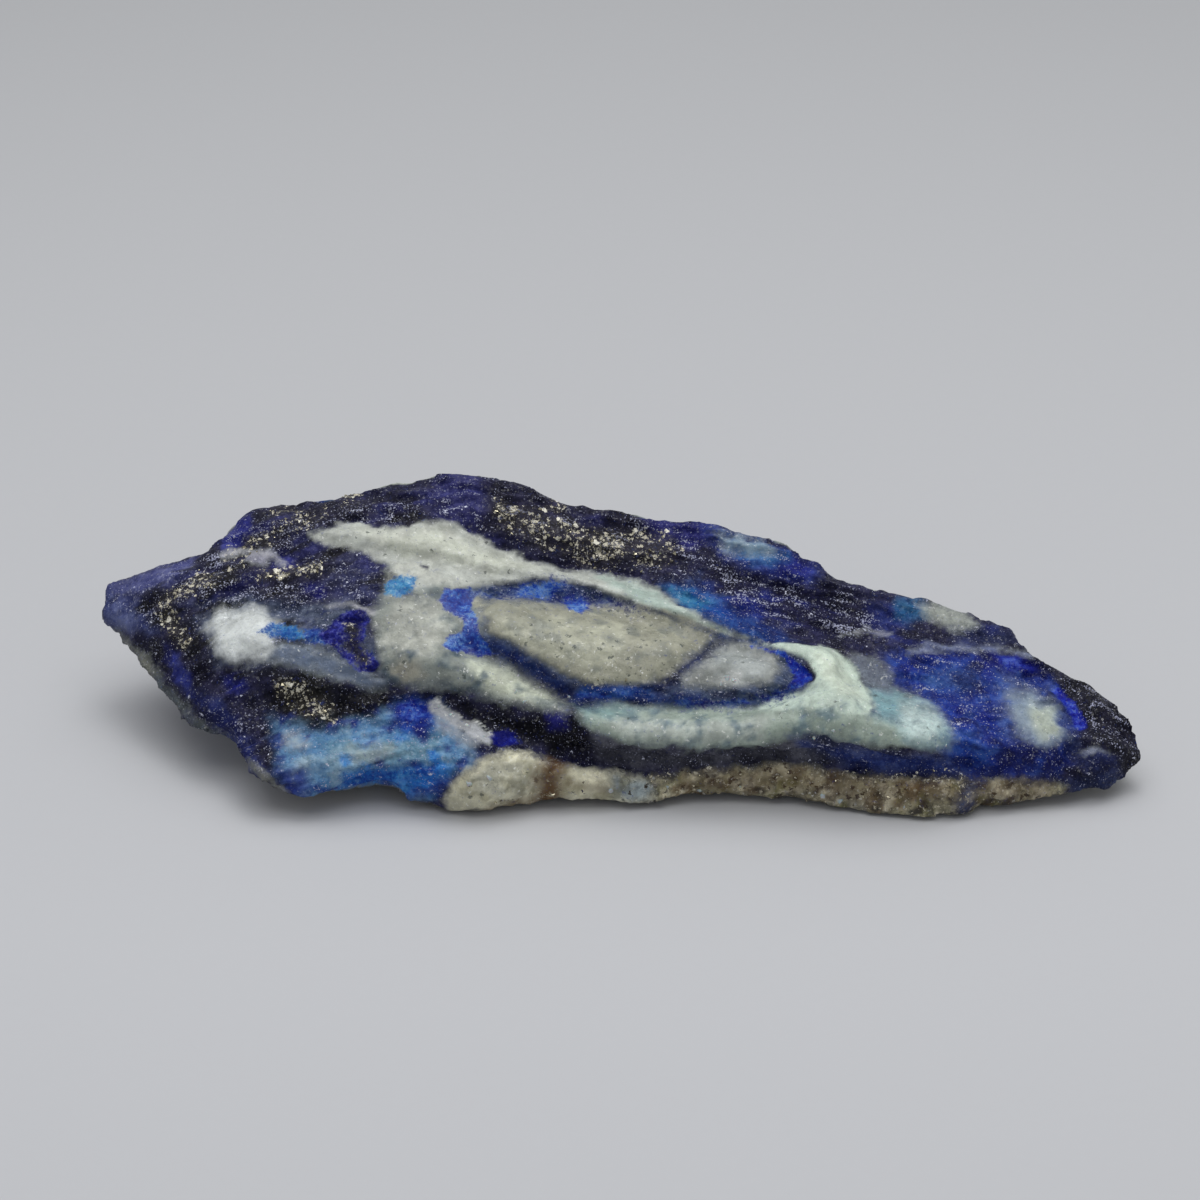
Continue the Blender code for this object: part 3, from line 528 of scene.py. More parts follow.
# A zone that is all calcite is laid thick, so that its own colour reaches its border.
LAID_THICK = 2.5
for colour, amount, soft, outline in MARBLE_ZONES:
    covered = patch(outline, soft)
    paint(marble, colour, np.clip(amount * LAID_THICK * covered, 0, 1) if amount > 0.9 else covered)
    calcite = np.maximum(calcite, amount * covered)
for colour, amount, width, soft, line in MARBLE_LINES:
    covered = stroke(line, width, soft)
    paint(marble, colour, covered)
    calcite = np.maximum(calcite, amount * covered)
for amount, width, soft, line in DARK_AND_SHADE_LINES:
    calcite *= 1 - amount * stroke(line, width, soft)
BROWN_FOOT = [(650, 770), (940, 774), (1066, 780), (1060, 810), (900, 830), (660, 806)]
MARBLE_CLOUDS = [
    ("#4d5f68", 1.9, 31.0, 0.90, points, [
        (370, 590), (440, 590), (480, 650), (576, 704), (470, 700), (370, 690),
    ]),
    ("#d6d8cc", 1.2, 32.0, 0.55, points, [
        (330, 520), (470, 520), (520, 570), (440, 640), (380, 660), (370, 580),
    ]),
    ("#66653a", 1.4, 33.0, 0.95, points, BROWN_FOOT),
    ("#5c4020", 1.5, 34.0, 0.60, points, BROWN_FOOT),
    ("#cfc8ae", 1.0, 35.0, 0.90, points, BROWN_FOOT),
    ("#26221c", 0.9, 36.0, 0.95, points, BROWN_FOOT),
    ("#8d8762", 1.3, 37.0, 0.55, points, [(448, 780), (508, 750), (650, 776), (650, 812), (450, 812)]),
    ("#55707e", 1.3, 38.0, 0.75, points, [(576, 704), (850, 700), (950, 740), (760, 750), (600, 740)]),
    ("#777d78", 1.1, 39.0, 0.60, points, [(476, 603), (680, 610), (784, 666), (700, 690), (560, 680)]),
]
paint_clouds(marble, MARBLE_CLOUDS)

# The bright blue: afghanite and lazurite in clots and rims against the white marble.

BLUE_BASE = "#2a56ae"
BRIGHT_ZONES = [
    ("#2a58b2", 1.0, 0.2, [
        (442, 598), (446, 591), (458, 588), (470, 589), (476, 594), (470, 602), (473, 612), (462, 618),
        (452, 614), (444, 608),
    ]),
    ("#2a56ae", 1.0, 0.2, [
        (462, 614), (474, 608), (478, 622), (480, 636), (488, 648), (497, 655), (478, 655), (456, 652),
        (443, 645), (450, 636), (462, 630),
    ]),
    ("#3a5290", 0.62, 0.60, [
        (476, 592), (505, 586), (536, 580), (555, 577), (570, 582), (588, 592), (608, 598), (632, 605),
        (650, 614), (630, 612), (600, 608), (582, 612), (560, 605), (530, 599), (500, 599), (480, 596),
    ]),
    ("#2c58b4", 0.9, 0.3, [(564, 598), (580, 598), (590, 606), (582, 613), (566, 608)]),
    ("#2c58b4", 0.75, 0.5, [(524, 586), (548, 581), (560, 586), (546, 596), (524, 594)]),
    ("#58a0cc", 0.9, 0.3, [
        (382, 586), (390, 578), (404, 576), (420, 577), (414, 590), (398, 596), (384, 594),
    ]),
    ("#3f82c0", 0.85, 0.3, [
        (257, 630), (270, 623), (286, 624), (304, 628), (308, 642), (286, 641), (268, 638),
    ]),
    ("#3560ac", 0.9, 0.3, [(300, 628), (326, 630), (330, 646), (310, 643)]),
    ("#23288a", 1.0, 0.2, [
        (326, 630), (336, 618), (348, 611), (362, 611), (369, 620), (366, 634), (362, 646), (372, 655),
        (379, 664), (374, 672), (360, 671), (346, 662), (336, 650), (326, 643), (320, 636),
    ]),
    ("#1f46b6", 1.0, 0.2, [
        (783, 653), (797, 660), (808, 670), (811, 678), (802, 686), (788, 692), (776, 694), (790, 684),
        (796, 674), (788, 664),
    ]),
    ("#2446a8", 0.8, 0.3, [(398, 704), (414, 698), (428, 704), (426, 718), (410, 724), (400, 716)]),
    ("#1f2f9c", 0.95, 0.3, [(491, 734), (502, 729), (516, 733), (521, 742), (508, 747), (494, 744)]),
    ("#1c2f9e", 0.8, 0.4, [(988, 654), (1016, 655), (1040, 665), (1034, 674), (1006, 670)]),
]
BRIGHT_LINES = [
    ("#2450b4", 0.9, 0.18, 0.15, [(752, 646), (768, 650), (784, 655)]),
    ("#1f3f90", 0.80, 0.50, 0.6, [(792, 690), (774, 697), (742, 702), (711, 703), (680, 703)]),
    ("#1e34b0", 0.95, 0.50, 0.25, [(1056, 690), (1070, 704), (1082, 726)]),
    ("#2f78c0", 0.75, 0.50, 0.40, [(346, 788), (372, 780), (404, 776), (430, 770)]),
    ("#3b8fc4", 0.70, 0.30, 0.30, [(690, 596), (706, 606), (724, 616)]),
    ("#2c56a8", 0.70, 0.25, 0.25, [(580, 694), (610, 696), (648, 690)]),
]
bright = np.zeros(len(points))
blue = np.tile(linear(BLUE_BASE), (len(points), 1))
for colour, amount, soft, outline in BRIGHT_ZONES:
    covered = patch(outline, soft)
    paint(blue, colour, np.clip(LAID_THICK * covered, 0, 1))
    bright = np.maximum(bright, amount * covered)
for colour, amount, width, soft, line in BRIGHT_LINES:
    covered = stroke(line, width, soft)
    paint(blue, colour, np.clip(LAID_THICK * covered, 0, 1))
    bright = np.maximum(bright, amount * covered)
# The purple heart lies clear of the marble, and its middle is dark rock with pyrite.
heart_dark = patch([(344, 620), (363, 618), (361, 640), (370, 662), (358, 666), (342, 648)], 0.4)
calcite *= 1 - patch([(326, 630), (348, 611), (369, 620), (379, 664), (346, 662)], 0.3)
paint(rock, "#24233e", heart_dark)
bright *= 1 - 0.75 * heart_dark

# Rust round the crack, and the places where pyrite and pale flakes lie in the rock.

# Amount, width, softness, points.
RUST_LINES = [
    (1.0, 1.7, 0.8, [(562, 752), (551, 770), (547, 784), (551, 798)]),
    (0.8, 0.6, 0.5, [(547, 784), (530, 802), (488, 810)]),
    (0.55, 0.8, 0.6, [(556, 782), (600, 788)]),
    (0.6, 0.9, 0.6, [(798, 774), (816, 784)]),
    (0.6, 1.2, 0.6, [(898, 782), (930, 790)]),
    (0.45, 1.8, 0.8, [(690, 784), (760, 778), (850, 784), (960, 794), (1040, 786)]),
]
rust = np.max([amount * stroke(line, width, soft) for amount, width, soft, line in RUST_LINES], axis=0)

# Amount, width, points.
BRASSY_LINES = [
    (1.0, 0.7, [(264, 576), (290, 573), (316, 569)]), (0.8, 0.4, [(276, 511), (292, 510)]),
    (0.7, 0.5, [(346, 500), (356, 497)]), (0.9, 1.0, [(300, 690), (314, 700), (328, 716)]),
    (0.7, 1.6, [(286, 690), (310, 708)]), (0.8, 1.4, [(500, 508), (514, 518), (530, 530)]),
    (1.0, 0.7, [(546, 507), (558, 508)]), (1.0, 1.6, [(574, 536), (596, 540), (618, 546)]),
    (0.6, 2.6, [(520, 522), (560, 536), (610, 546), (660, 550)]),
    (0.8, 0.9, [(162, 606), (184, 592), (212, 576)]), (0.9, 0.9, [(170, 618), (178, 634), (184, 644)]),
    (0.5, 1.2, [(230, 560), (260, 540), (320, 512)]), (0.8, 0.6, [(350, 622), (354, 636)]),
    (0.8, 0.5, [(356, 660), (366, 662)]), (0.5, 0.7, [(580, 680), (620, 676)]),
    (0.5, 2.0, [(660, 784), (800, 782), (960, 788)]), (0.9, 1.1, [(896, 782), (930, 786), (958, 788)]),
    (0.4, 0.8, [(500, 800), (560, 790)]),
]
brassy = np.max([amount * stroke(line, width, 0.5) for amount, width, line in BRASSY_LINES], axis=0)

# Amount, softness, outline, over the amount that is found everywhere.
FLAKES_EVERYWHERE = 0.20
FLAKE_ZONES = [
    (0.95, 1.0, [
        (600, 520), (690, 530), (740, 570), (880, 600), (900, 640), (800, 640), (700, 590), (620, 560),
    ]),
    (0.9, 0.6, [(480, 490), (560, 510), (640, 530), (640, 560), (540, 540), (490, 520)]),
    (0.8, 0.6, [(430, 480), (486, 480), (480, 526), (440, 520)]),
    (0.6, 0.8, [(220, 530), (420, 490), (400, 560), (300, 660), (180, 640)]),
    (0.6, 0.8, [(110, 600), (220, 540), (260, 560), (200, 600), (140, 630)]),
    (0.8, 0.5, [(1060, 676), (1110, 700), (1140, 740), (1136, 770), (1096, 740)]),
    (0.30, 0.8, [(900, 650), (1000, 656), (1060, 700), (1000, 770), (940, 740)]),
    (0.6, 0.5, [(478, 586), (560, 578), (640, 606), (560, 606)]),
    (0.6, 0.8, [(210, 690), (260, 720), (240, 740), (200, 710)]),
    (0.25, 0.8, [(280, 740), (440, 720), (440, 790), (300, 790)]),
]
flakes = np.full(len(points), FLAKES_EVERYWHERE)
for amount, soft, outline in FLAKE_ZONES:
    flakes = np.maximum(flakes, amount * patch(outline, soft))

SPOTS_EVERYWHERE = 0.12
SPOTTED_ZONES = [
    (0.9, 0.8, [(500, 606), (640, 612), (700, 630), (680, 680), (590, 684), (520, 650)]),
    (0.6, 0.6, [(340, 530), (440, 524), (490, 545), (480, 580), (420, 590), (380, 556)]),
    (0.4, 0.6, [(470, 770), (640, 770), (640, 810), (460, 810)]),
]
spotted = np.full(len(points), SPOTS_EVERYWHERE)
for amount, soft, outline in SPOTTED_ZONES:
    spotted = np.maximum(spotted, amount * patch(outline, soft))

# The sides that the photograph doesn't show. The same minerals lie there in bands that run along
# the rock's layers, and the underside is weathered like the foot of the front.

BAND_SPACING = 6.5 * MM
STAINED_BELOW = 3.6 * MM
# How far the skin has turned from the camera where the bands start, and over how much more turning
# they take the place of what the photograph shows.
TURNED_AWAY, TURNS_OVER = -0.08, 0.30
HIDDEN_MARBLE_BASE = "#aab4ac"

facing = mixed_with_neighbours(stone, normals @ np.array(to_camera), [0.5] * 10)[:, 0]
hidden = np.clip((TURNED_AWAY - facing) / TURNS_OVER, 0, 1)
banding = cloud(drawn_out, BAND_SPACING, 4, 1.0)
height = points[:, 2] + 1.5 * MM * cloud(drawn_out, 5 * MM, 3, 2.0)
stained = np.clip((STAINED_BELOW - height) / (2 * MM), 0, 1)


def band(lowest, highest, soft):
    """Where the banding is between these two values."""
    return np.clip(0.5 + np.minimum(banding - lowest, highest - banding) / (2 * soft), 0, 1)


hidden_rock = np.tile(linear(ROCK_BASE), (len(points), 1))
for colour, lowest, highest in [
    ("#191826", -9, -0.30), ("#33366e", -0.30, -0.12), ("#284494", -0.02, 0.16), ("#4f86a8", 0.14, 0.24),
]:
    paint(hidden_rock, colour, band(lowest, highest, 0.05))
hidden_marble = np.tile(linear(HIDDEN_MARBLE_BASE), (len(points), 1))
paint(hidden_marble, "#c4cabf", band(0.34, 9, 0.08))
paint(hidden_marble, "#8c8468", stained)
hidden_calcite = np.maximum(band(0.20, 9, 0.04), 0.75 * stained)
hidden_bright = 0.9 * band(0.12, 0.17, 0.03) * (1 - stained)
hidden_rust = 0.8 * stained * np.clip(cloud(points, 2.5 * MM, 3, 8.0) * 2 - 0.6, 0, 1)
hidden_brassy = 0.5 * np.clip(cloud(drawn_out, 3 * MM, 2, 9.0) * 2 - 0.7, 0, 1)

rock += (hidden_rock - rock) * hidden[:, None]
marble += (hidden_marble - marble) * hidden[:, None]
calcite += (hidden_calcite - calcite) * hidden
bright += (hidden_bright - bright) * hidden
rust += (hidden_rust - rust) * hidden
brassy += (hidden_brassy - brassy) * hidden


def keep(name, values):
    """Keeps values at the skin's points under this name, one number or three for each point."""
    kind, field = ("FLOAT", "value") if values.ndim == 1 else ("FLOAT_VECTOR", "vector")
    kept = stone.data.attributes.new(name, kind, "POINT")
    kept.data.foreach_set(field, values.astype(np.float32).ravel())


for name, values in [
    ("rock", rock), ("marble", marble), ("calcite", calcite), ("blue", blue), ("bright", bright),
    ("rust", rust), ("brassy", brassy), ("spotted", spotted), ("layers", drawn_out),
]:
    keep(name, values)

# The relief of the break: split grains in the marble, thin torn layers in the dark rock, and
# coarse loose grains at the blunt end and along the foot.

END_CAP = [
    (1052, 668), (1078, 672), (1108, 694), (1140, 724), (1152, 780), (1120, 790), (1090, 750), (1066, 700),
]
FOOT = [
    (448, 780), (478, 760), (508, 750), (600, 766), (780, 764), (940, 776), (1100, 782), (1130, 800),
    (1000, 830), (880, 830), (500, 825),
]
CALM_SLAB = [
    (756, 642), (834, 648), (861, 680), (873, 706), (800, 704), (700, 620), (600, 585), (480, 560),
]
SPLIT_FACE = 0.75 * MM
COARSE_FACE = 1.5 * MM
FINE_GRAIN = 0.55 * MM
COARSE_GRAIN = 1.1 * MM
CRUMPLE = 0.8 * MM
RIDGE_SPACING = 1.8 * MM
TORN_LAYER = 1.3 * MM
PIT_SPACING = 1.4 * MM
SWELL = 2.4 * MM
# The skin keeps its shape where it rests, and gains its relief over this height above the floor.
RESTS_BELOW, RELIEF_RISES_OVER = 0.05 * MM, 0.3 * MM


def grains(places, size, seed):
    """Rounded grains of this size: 1 at the middle of each and 0 in the seams between them."""
    shift = Vector((seed * 3.7, seed * 9.1, seed * 6.3))
    near = np.array([noise.voronoi(Vector(p) / size + shift)[0][:2] for p in places])
    return np.clip((near[:, 1] - near[:, 0]) * 1.6, 0, 1)


def facets(places, size, seed):
    """Small flat faces, each tilted its own way, as grains leave where they split."""
    shift = Vector((seed * 5.3, seed * 2.9, seed * 7.7))
    heights = []
    for p in places:
        at = Vector(p) / size + shift
        middle = noise.voronoi(at)[1][0]
        tilt = noise.cell_vector(middle * 13.7) - Vector((0.5, 0.5, 0.5))
        heights.append(2 * (at - middle).dot(tilt))
    return np.array(heights)


def ridges(places, size, seed):
    """Sharp little ridges this far apart, from about -1 in the hollows to 1 on the crests."""
    shift = Vector((seed * 4.1, seed * 8.3, seed * 2.7))
    found = [noise.ridged_multi_fractal(Vector(p) / size + shift, 0.9, 2.1, 4, 1.0, 1.6) for p in places]
    return np.clip(np.array(found) - 1.1, -1, 1)


def torn_layers(places, thickness, seed):
    """Thin layers that end in little steps, from 0 behind a step to 1 on its brink."""
    bent = cloud(places, 3 * MM, 4, seed) * 1.6 * MM
    level = (places @ UPWARD + bent) / thickness
    rise = level - np.floor(level)
    return np.where(rise > 0.2, 1 - (rise - 0.2) / 0.8, rise / 0.2)


# What the relief is made of, and where: heights are in millimetres. The smooth slab is kept calm,
# and the tip gets back what the rounding took off it.
TIP_AT = -35
TIP_GROWS = 0.35
DEEPEST, HIGHEST = -0.55, 0.18
is_marble = np.clip(calcite * 1.6 - 0.4, 0, 1)
is_foot = np.maximum(patch(FOOT, 0.6) * (1 - hidden), hidden * stained)
is_cap = patch(END_CAP, 0.8) * (1 - hidden)
is_calm = 0.7 * patch(CALM_SLAB, 0.6)
is_rock = np.clip(1 - is_marble - is_foot, 0, 1)
torn_here = np.clip(0.6 + 1.4 * cloud(points, 3.5 * MM, 2, 10.0), 0, 1)
split = facets(points, SPLIT_FACE, 1.0)
coarse_split = facets(points, COARSE_FACE, 2.0)
fine = grains(points, FINE_GRAIN, 3.0)
coarse = grains(points, COARSE_GRAIN, 4.0)
crumpled = cloud(drawn_out, CRUMPLE, 4, 11.0)
ridged = ridges(drawn_out, RIDGE_SPACING, 13.0)
torn = torn_layers(drawn_out, TORN_LAYER, 5.0)
pits = np.clip(cloud(points, PIT_SPACING, 2, 12.0) * 2 - 0.9, 0, 1)

keep("flakes", np.clip(flakes + 0.5 * is_rock * torn_here * (torn > 0.75), 0, 1))
keep("coarse", is_foot * np.clip(0.15 + 0.85 * (pixels[:, 0] - 600) / 100, 0.15, 1))

relief = 0.12 * cloud(drawn_out, SWELL, 3, 3.0)
relief += is_marble * (1 - is_calm) * (0.05 * split + 0.06 * crumpled)
relief += is_foot * (0.10 * split + 0.13 * coarse_split + 0.06 * fine)
relief += is_rock * (1 - 0.55 * is_cap) * (0.20 * ridged + 0.34 * torn_here * (torn - 0.7))
relief += is_rock * (0.08 * coarse_split - 0.22 * pits)
relief += is_cap * (0.05 * coarse + 0.03 * split - 0.03)
relief += 0.10 * brassy * fine
relief *= 1 - 0.5 * is_cap
on_tip = np.clip(1.5 - (points[:, 0] / MM - TIP_AT), 0, 1)
relief = np.clip(relief, DEEPEST, HIGHEST) + TIP_GROWS * on_tip
off_the_floor = np.clip((points[:, 2] - RESTS_BELOW) / RELIEF_RISES_OVER, 0, 1)
moved = points + normals * (relief * off_the_floor)[:, None] * MM
moved[:, 2] = np.maximum(moved[:, 2], 0.0)
put_points(stone, moved)
stone.data.shade_smooth()

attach(stone, "root")
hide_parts("afghanite_stone")


def add(tree, kind, inputs=None, **settings):
    """Adds a shader node. An input is a value, or the node or the output that it is linked to."""
    made = tree.nodes.new("ShaderNode" + kind)
    for name, value in settings.items():
        setattr(made, name, value)
    for socket, value in (inputs or {}).items():
        if isinstance(value, bpy.types.Node):
            value = value.outputs[0]
        if isinstance(value, bpy.types.NodeSocket):
            tree.links.new(value, made.inputs[socket])
        else:
            made.inputs[socket].default_value = value
    return made


def opaque(hex_colour):
    return (*linear(hex_colour), 1.0)


# The broken surface of the stone. Light soaks into the marble, so its borders are soft and let
# the blue below show through, and it is lost in the dark rock, which shows only as streaks, pale
# dust and glints. Dust finer than a pixel is drawn a tenth of a millimetre across.

GRAIN = 0.45 * MM
DUST = 0.12 * MM
FLAKE_SPACING = 0.28 * MM
GOLD_SPACING = 0.22 * MM
SPOT_SPACING = 0.40 * MM
DARK_GRIT_SPACING = 0.34 * MM
PALE_GRIT_SPACING = 0.27 * MM
SPECK_AND_GLINT_SPACING = 0.24 * MM
MOTTLE = 1.8 * MM
STREAK = 0.55 * MM
FLECK = 0.30 * MM
CLUMP = 0.42 * MM
FACE_SIZE = 0.13 * MM
DUST_TONES = ("#656a98", "#d9dcee")
# The near-white end of the gold tones is a painted glint on the brassy grains.
GOLD_AND_GLINT_TONES = ("#a09678", "#fffbea")
GRIT_TONES = ("#2f281c", "#cbc4ac")
SPECK_AND_GLINT_WHITE = "#eef0ea"
BRASS_GROUND, DARK_SPOT, RUST = "#35322d", "#39443f", "#5c3f16"

material = bpy.data.materials.new("afghanite_in_calcite_marble")
material.use_nodes = True
tree = material.node_tree
surface = tree.nodes["Principled BSDF"]
place = add(tree, "TexCoord").outputs["Object"]
in_layers = add(tree, "Attribute", attribute_name="layers").outputs["Vector"]
mottle = add(tree, "TexNoise", {"Vector": place, "Scale": 1 / MOTTLE, "Detail": 4.0})
streak = add(
    tree, "TexNoise", {"Vector": in_layers, "Scale": 1 / STREAK, "Detail": 5.0, "Roughness": 0.7}
)
fleck = add(
    tree, "TexNoise", {"Vector": place, "Scale": 1 / FLECK, "Detail": 4.0, "Roughness": 0.75}
)
dust = add(
    tree, "TexNoise", {"Vector": place, "Scale": 1 / DUST, "Detail": 1.0, "Roughness": 0.6}
)
nudge = add(tree, "VectorMath", {0: fleck.outputs["Color"], "Scale": 0.80 * MM}, operation="SCALE")
nudged = add(tree, "VectorMath", {0: place, 1: nudge}, operation="ADD")


def specks(spacing, chosen, widest):
    """Uneven specks of random sizes: this share of the pattern's cells holds one."""
    cell = add(tree, "TexVoronoi", {"Vector": nudged, "Scale": 1 / spacing})
    pick = add(tree, "SeparateColor", {0: cell.outputs["Color"]})
    holds = add(tree, "Math", {0: pick.outputs["Red"], 1: chosen}, operation="LESS_THAN")
    radius = add(tree, "Math", {0: pick.outputs["Green"], 1: widest}, operation="MULTIPLY")
    inside = add(tree, "Math", {0: radius, 1: cell}, operation="SUBTRACT")
    soft = add(tree, "MapRange", {0: inside, 1: 0.0, 2: 0.08})
    return add(tree, "Math", {0: holds, 1: soft}, operation="MULTIPLY")


def deepened(tone, palest, deepest, streaks):
    """A kept tone, deeper in colour where the grains are thick and paler where they are thin."""
    thickness = add(tree, "Math", {0: streak, 1: streaks, 2: mottle}, operation="MULTIPLY_ADD")
    thickness = add(tree, "Math", {0: fleck, 1: 1.3 - streaks, 2: thickness}, operation="MULTIPLY_ADD")
    power = add(tree, "MapRange", {0: thickness, 1: 0.98, 2: 1.32, 3: palest, 4: deepest})
    kept = add(tree, "Attribute", attribute_name=tone).outputs["Color"]
    return add(tree, "Gamma", {"Color": kept, "Gamma": power})


# The dark rock: pale dust and flakes in clumps, with thin streaks along the layers that are partly
# painted highlights, then the ground of the brassy grains, the grains themselves and the largest of
# them, which carry painted glints.
flakes_here = add(tree, "Attribute", attribute_name="flakes").outputs["Fac"]
thinned = add(tree, "VectorMath", {0: in_layers, 1: (0.45, 1.0, 1.0)}, operation="MULTIPLY")
# Painted highlights: thin streaks along the layers, where the pale dust lies thickest.
dust_and_highlight_streaks = add(tree, "TexNoise", {"Vector": thinned, "Scale": 1 / CLUMP, "Detail": 3.0})
clumps = add(tree, "Math", {0: mottle, 1: dust_and_highlight_streaks}, operation="ADD")
clumps = add(tree, "MapRange", {0: clumps, 1: 0.94, 2: 1.18, 3: 0.0, 4: 1.0})
dusty = add(tree, "Math", {0: flakes_here, 1: clumps}, operation="MULTIPLY")
dust_level = add(tree, "Math", {0: dusty, 1: 0.22, 2: dust}, operation="MULTIPLY_ADD")
dust_amount = add(tree, "MapRange", {0: dust_level, 1: 0.69, 2: 0.76, 4: 0.9})
flake_share = add(tree, "Math", {0: dusty, 1: 0.30}, operation="MULTIPLY")
brassy_here = add(tree, "Attribute", attribute_name="brassy").outputs["Fac"]
ground = add(tree, "MapRange", {0: brassy_here, 1: 0.1, 2: 0.8, 3: 0.0, 4: 0.55})
gold_clumps = add(tree, "MapRange", {0: clumps, 3: 0.45, 4: 1.0})
gold_share = add(tree, "MapRange", {0: brassy_here, 1: 0.10, 2: 0.95, 3: 0.0, 4: 1.0})
gold_share = add(tree, "Math", {0: gold_share, 1: gold_clumps}, operation="MULTIPLY")
# The largest grains are laid in the palest gold tone, a painted glint.
nugget_and_glint_share = add(tree, "Math", {0: gold_share, 1: 0.45}, operation="MULTIPLY")
dust_tone, gold_and_glint_tone = [
    add(tree, "Mix", {0: fleck, 6: opaque(dull), 7: opaque(bright_end)}, data_type="RGBA").outputs[2]
    for dull, bright_end in (DUST_TONES, GOLD_AND_GLINT_TONES)
]
rock_colour = deepened("rock", 0.96, 1.62, 0.55)
for amount, coat in [
    (dust_amount, dust_tone), (specks(FLAKE_SPACING, flake_share, 0.42), opaque(DUST_TONES[1])),
    (ground, opaque(BRASS_GROUND)), (specks(GOLD_SPACING, gold_share, 0.80), gold_and_glint_tone),
    (specks(2 * GOLD_SPACING, nugget_and_glint_share, 0.55), opaque(GOLD_AND_GLINT_TONES[1])),
]:
    laid = add(tree, "Mix", {0: amount, 6: rock_colour, 7: coat}, data_type="RGBA")
    rock_colour = laid.outputs[2]

# The marble: clouded, sugary where it is coarse, with dark and pale grit in the foot, white specks
# that are partly white grains and partly painted glints, dark spots and rust.
grain = add(tree, "TexVoronoi", {"Vector": nudged, "Scale": 1 / GRAIN})
grain_pick = add(tree, "SeparateColor", {0: grain.outputs["Color"]})
sugar = add(tree, "Math", {0: fleck, 1: 2.2, 2: grain_pick.outputs["Green"]}, operation="MULTIPLY_ADD")
coarse_here = add(tree, "Attribute", attribute_name="coarse").outputs["Fac"]
cloud_low = add(tree, "MapRange", {0: coarse_here, 3: 0.80, 4: 0.50})
cloud_high = add(tree, "MapRange", {0: coarse_here, 3: 1.12, 4: 1.45})
cloud_light = add(tree, "MapRange", {0: mottle, 1: 0.34, 2: 0.66, 3: cloud_low, 4: cloud_high})
darkest = add(tree, "MapRange", {0: coarse_here, 3: 0.84, 4: 0.45})
lightest = add(tree, "MapRange", {0: coarse_here, 3: 1.13, 4: 1.70})
sugar_light = add(tree, "MapRange", {0: sugar, 1: 0.9, 2: 2.3, 3: darkest, 4: lightest})
marble_light = add(tree, "Math", {0: cloud_light, 1: sugar_light}, operation="MULTIPLY")
marble_kept = add(tree, "Attribute", attribute_name="marble").outputs["Vector"]
dark_grit = add(tree, "Math", {0: coarse_here, 1: 0.30}, operation="MULTIPLY")
# White specks in the colour: partly white grains, partly painted glints.
specks_and_painted_glints = add(tree, "Math", {0: specks(SPECK_AND_GLINT_SPACING, 0.16, 0.42), 1: 0.75}, operation="MULTIPLY")
spotted_here = add(tree, "Attribute", attribute_name="spotted").outputs["Fac"]
spot_share = add(tree, "MapRange", {0: clumps, 3: 0.25, 4: 1.0})
spot_share = add(tree, "Math", {0: spot_share, 1: spotted_here}, operation="MULTIPLY")
spots = add(tree, "Math", {0: specks(SPOT_SPACING, spot_share, 0.45), 1: 0.7}, operation="MULTIPLY")
rust_here = add(tree, "Attribute", attribute_name="rust").outputs["Fac"]
rusty = add(tree, "MapRange", {0: fleck, 1: 0.26, 2: 0.46})
rusty = add(tree, "Math", {0: rusty, 1: rust_here}, operation="MULTIPLY")
marble_colour = add(tree, "VectorMath", {0: marble_kept, "Scale": marble_light}, operation="SCALE")
for amount, coat in [
    (specks(DARK_GRIT_SPACING, dark_grit, 0.70), GRIT_TONES[0]),
    (specks(PALE_GRIT_SPACING, coarse_here, 0.42), GRIT_TONES[1]),
    (specks_and_painted_glints, SPECK_AND_GLINT_WHITE), (spots, DARK_SPOT), (rusty, RUST),
]:
    laid = add(tree, "Mix", {0: amount, 6: marble_colour, 7: opaque(coat)}, data_type="RGBA")
    marble_colour = laid.outputs[2]

# The borders, ragged by about a grain, between the rock, the marble and the bright blue.
ragged = add(tree, "Math", {0: streak, 1: 0.35, 2: fleck}, operation="MULTIPLY_ADD")
ragged = add(tree, "Math", {0: ragged, 1: 1.8, 2: -1.215}, operation="MULTIPLY_ADD")


def shown(name, raggedness, edge):
    """How much of a mineral shows, with its ragged border this soft."""
    kept = add(tree, "Attribute", attribute_name=name).outputs["Fac"]
    amount = add(tree, "Math", {0: ragged, 1: raggedness, 2: kept}, operation="MULTIPLY_ADD")
    return add(tree, "MapRange", {0: amount, 1: 0.5 - edge, 2: 0.5 + edge})


marble_amount = shown("calcite", 0.42, 0.40)
blue_amount = shown("bright", 1.3, 0.26)
colour = rock_colour
for amount, coat in [(marble_amount, marble_colour), (blue_amount, deepened("blue", 0.56, 1.80, 0.25))]:
    colour = add(tree, "Mix", {0: amount, 6: colour, 7: coat}, data_type="RGBA").outputs[2]
tree.links.new(colour, surface.inputs["Base Color"])

# The gloss: glints come off small flat faces, each turned its own way.
fine_height = add(tree, "Math", {0: grain, 1: -0.6, 2: fleck}, operation="MULTIPLY_ADD")
bump_strength = add(tree, "MapRange", {0: marble_amount, 3: 1.0, 4: 0.50})
bump = add(tree, "Bump", {"Strength": bump_strength, "Distance": 0.10 * MM, "Height": fine_height})
face = add(tree, "TexVoronoi", {"Vector": place, "Scale": 1 / FACE_SIZE})
tilt = add(tree, "VectorMath", {0: face.outputs["Color"], 1: (0.5, 0.5, 0.5)}, operation="SUBTRACT")
tilted = add(tree, "VectorMath", {0: tilt, 1: (1.7, 1.7, 1.7), 2: bump}, operation="MULTIPLY_ADD")
tilted = add(tree, "VectorMath", {0: tilted}, operation="NORMALIZE")
face_pick = add(tree, "SeparateColor", {0: face.outputs["Color"]})
least = add(tree, "MapRange", {0: marble_amount, 3: 0.90, 4: 0.93})
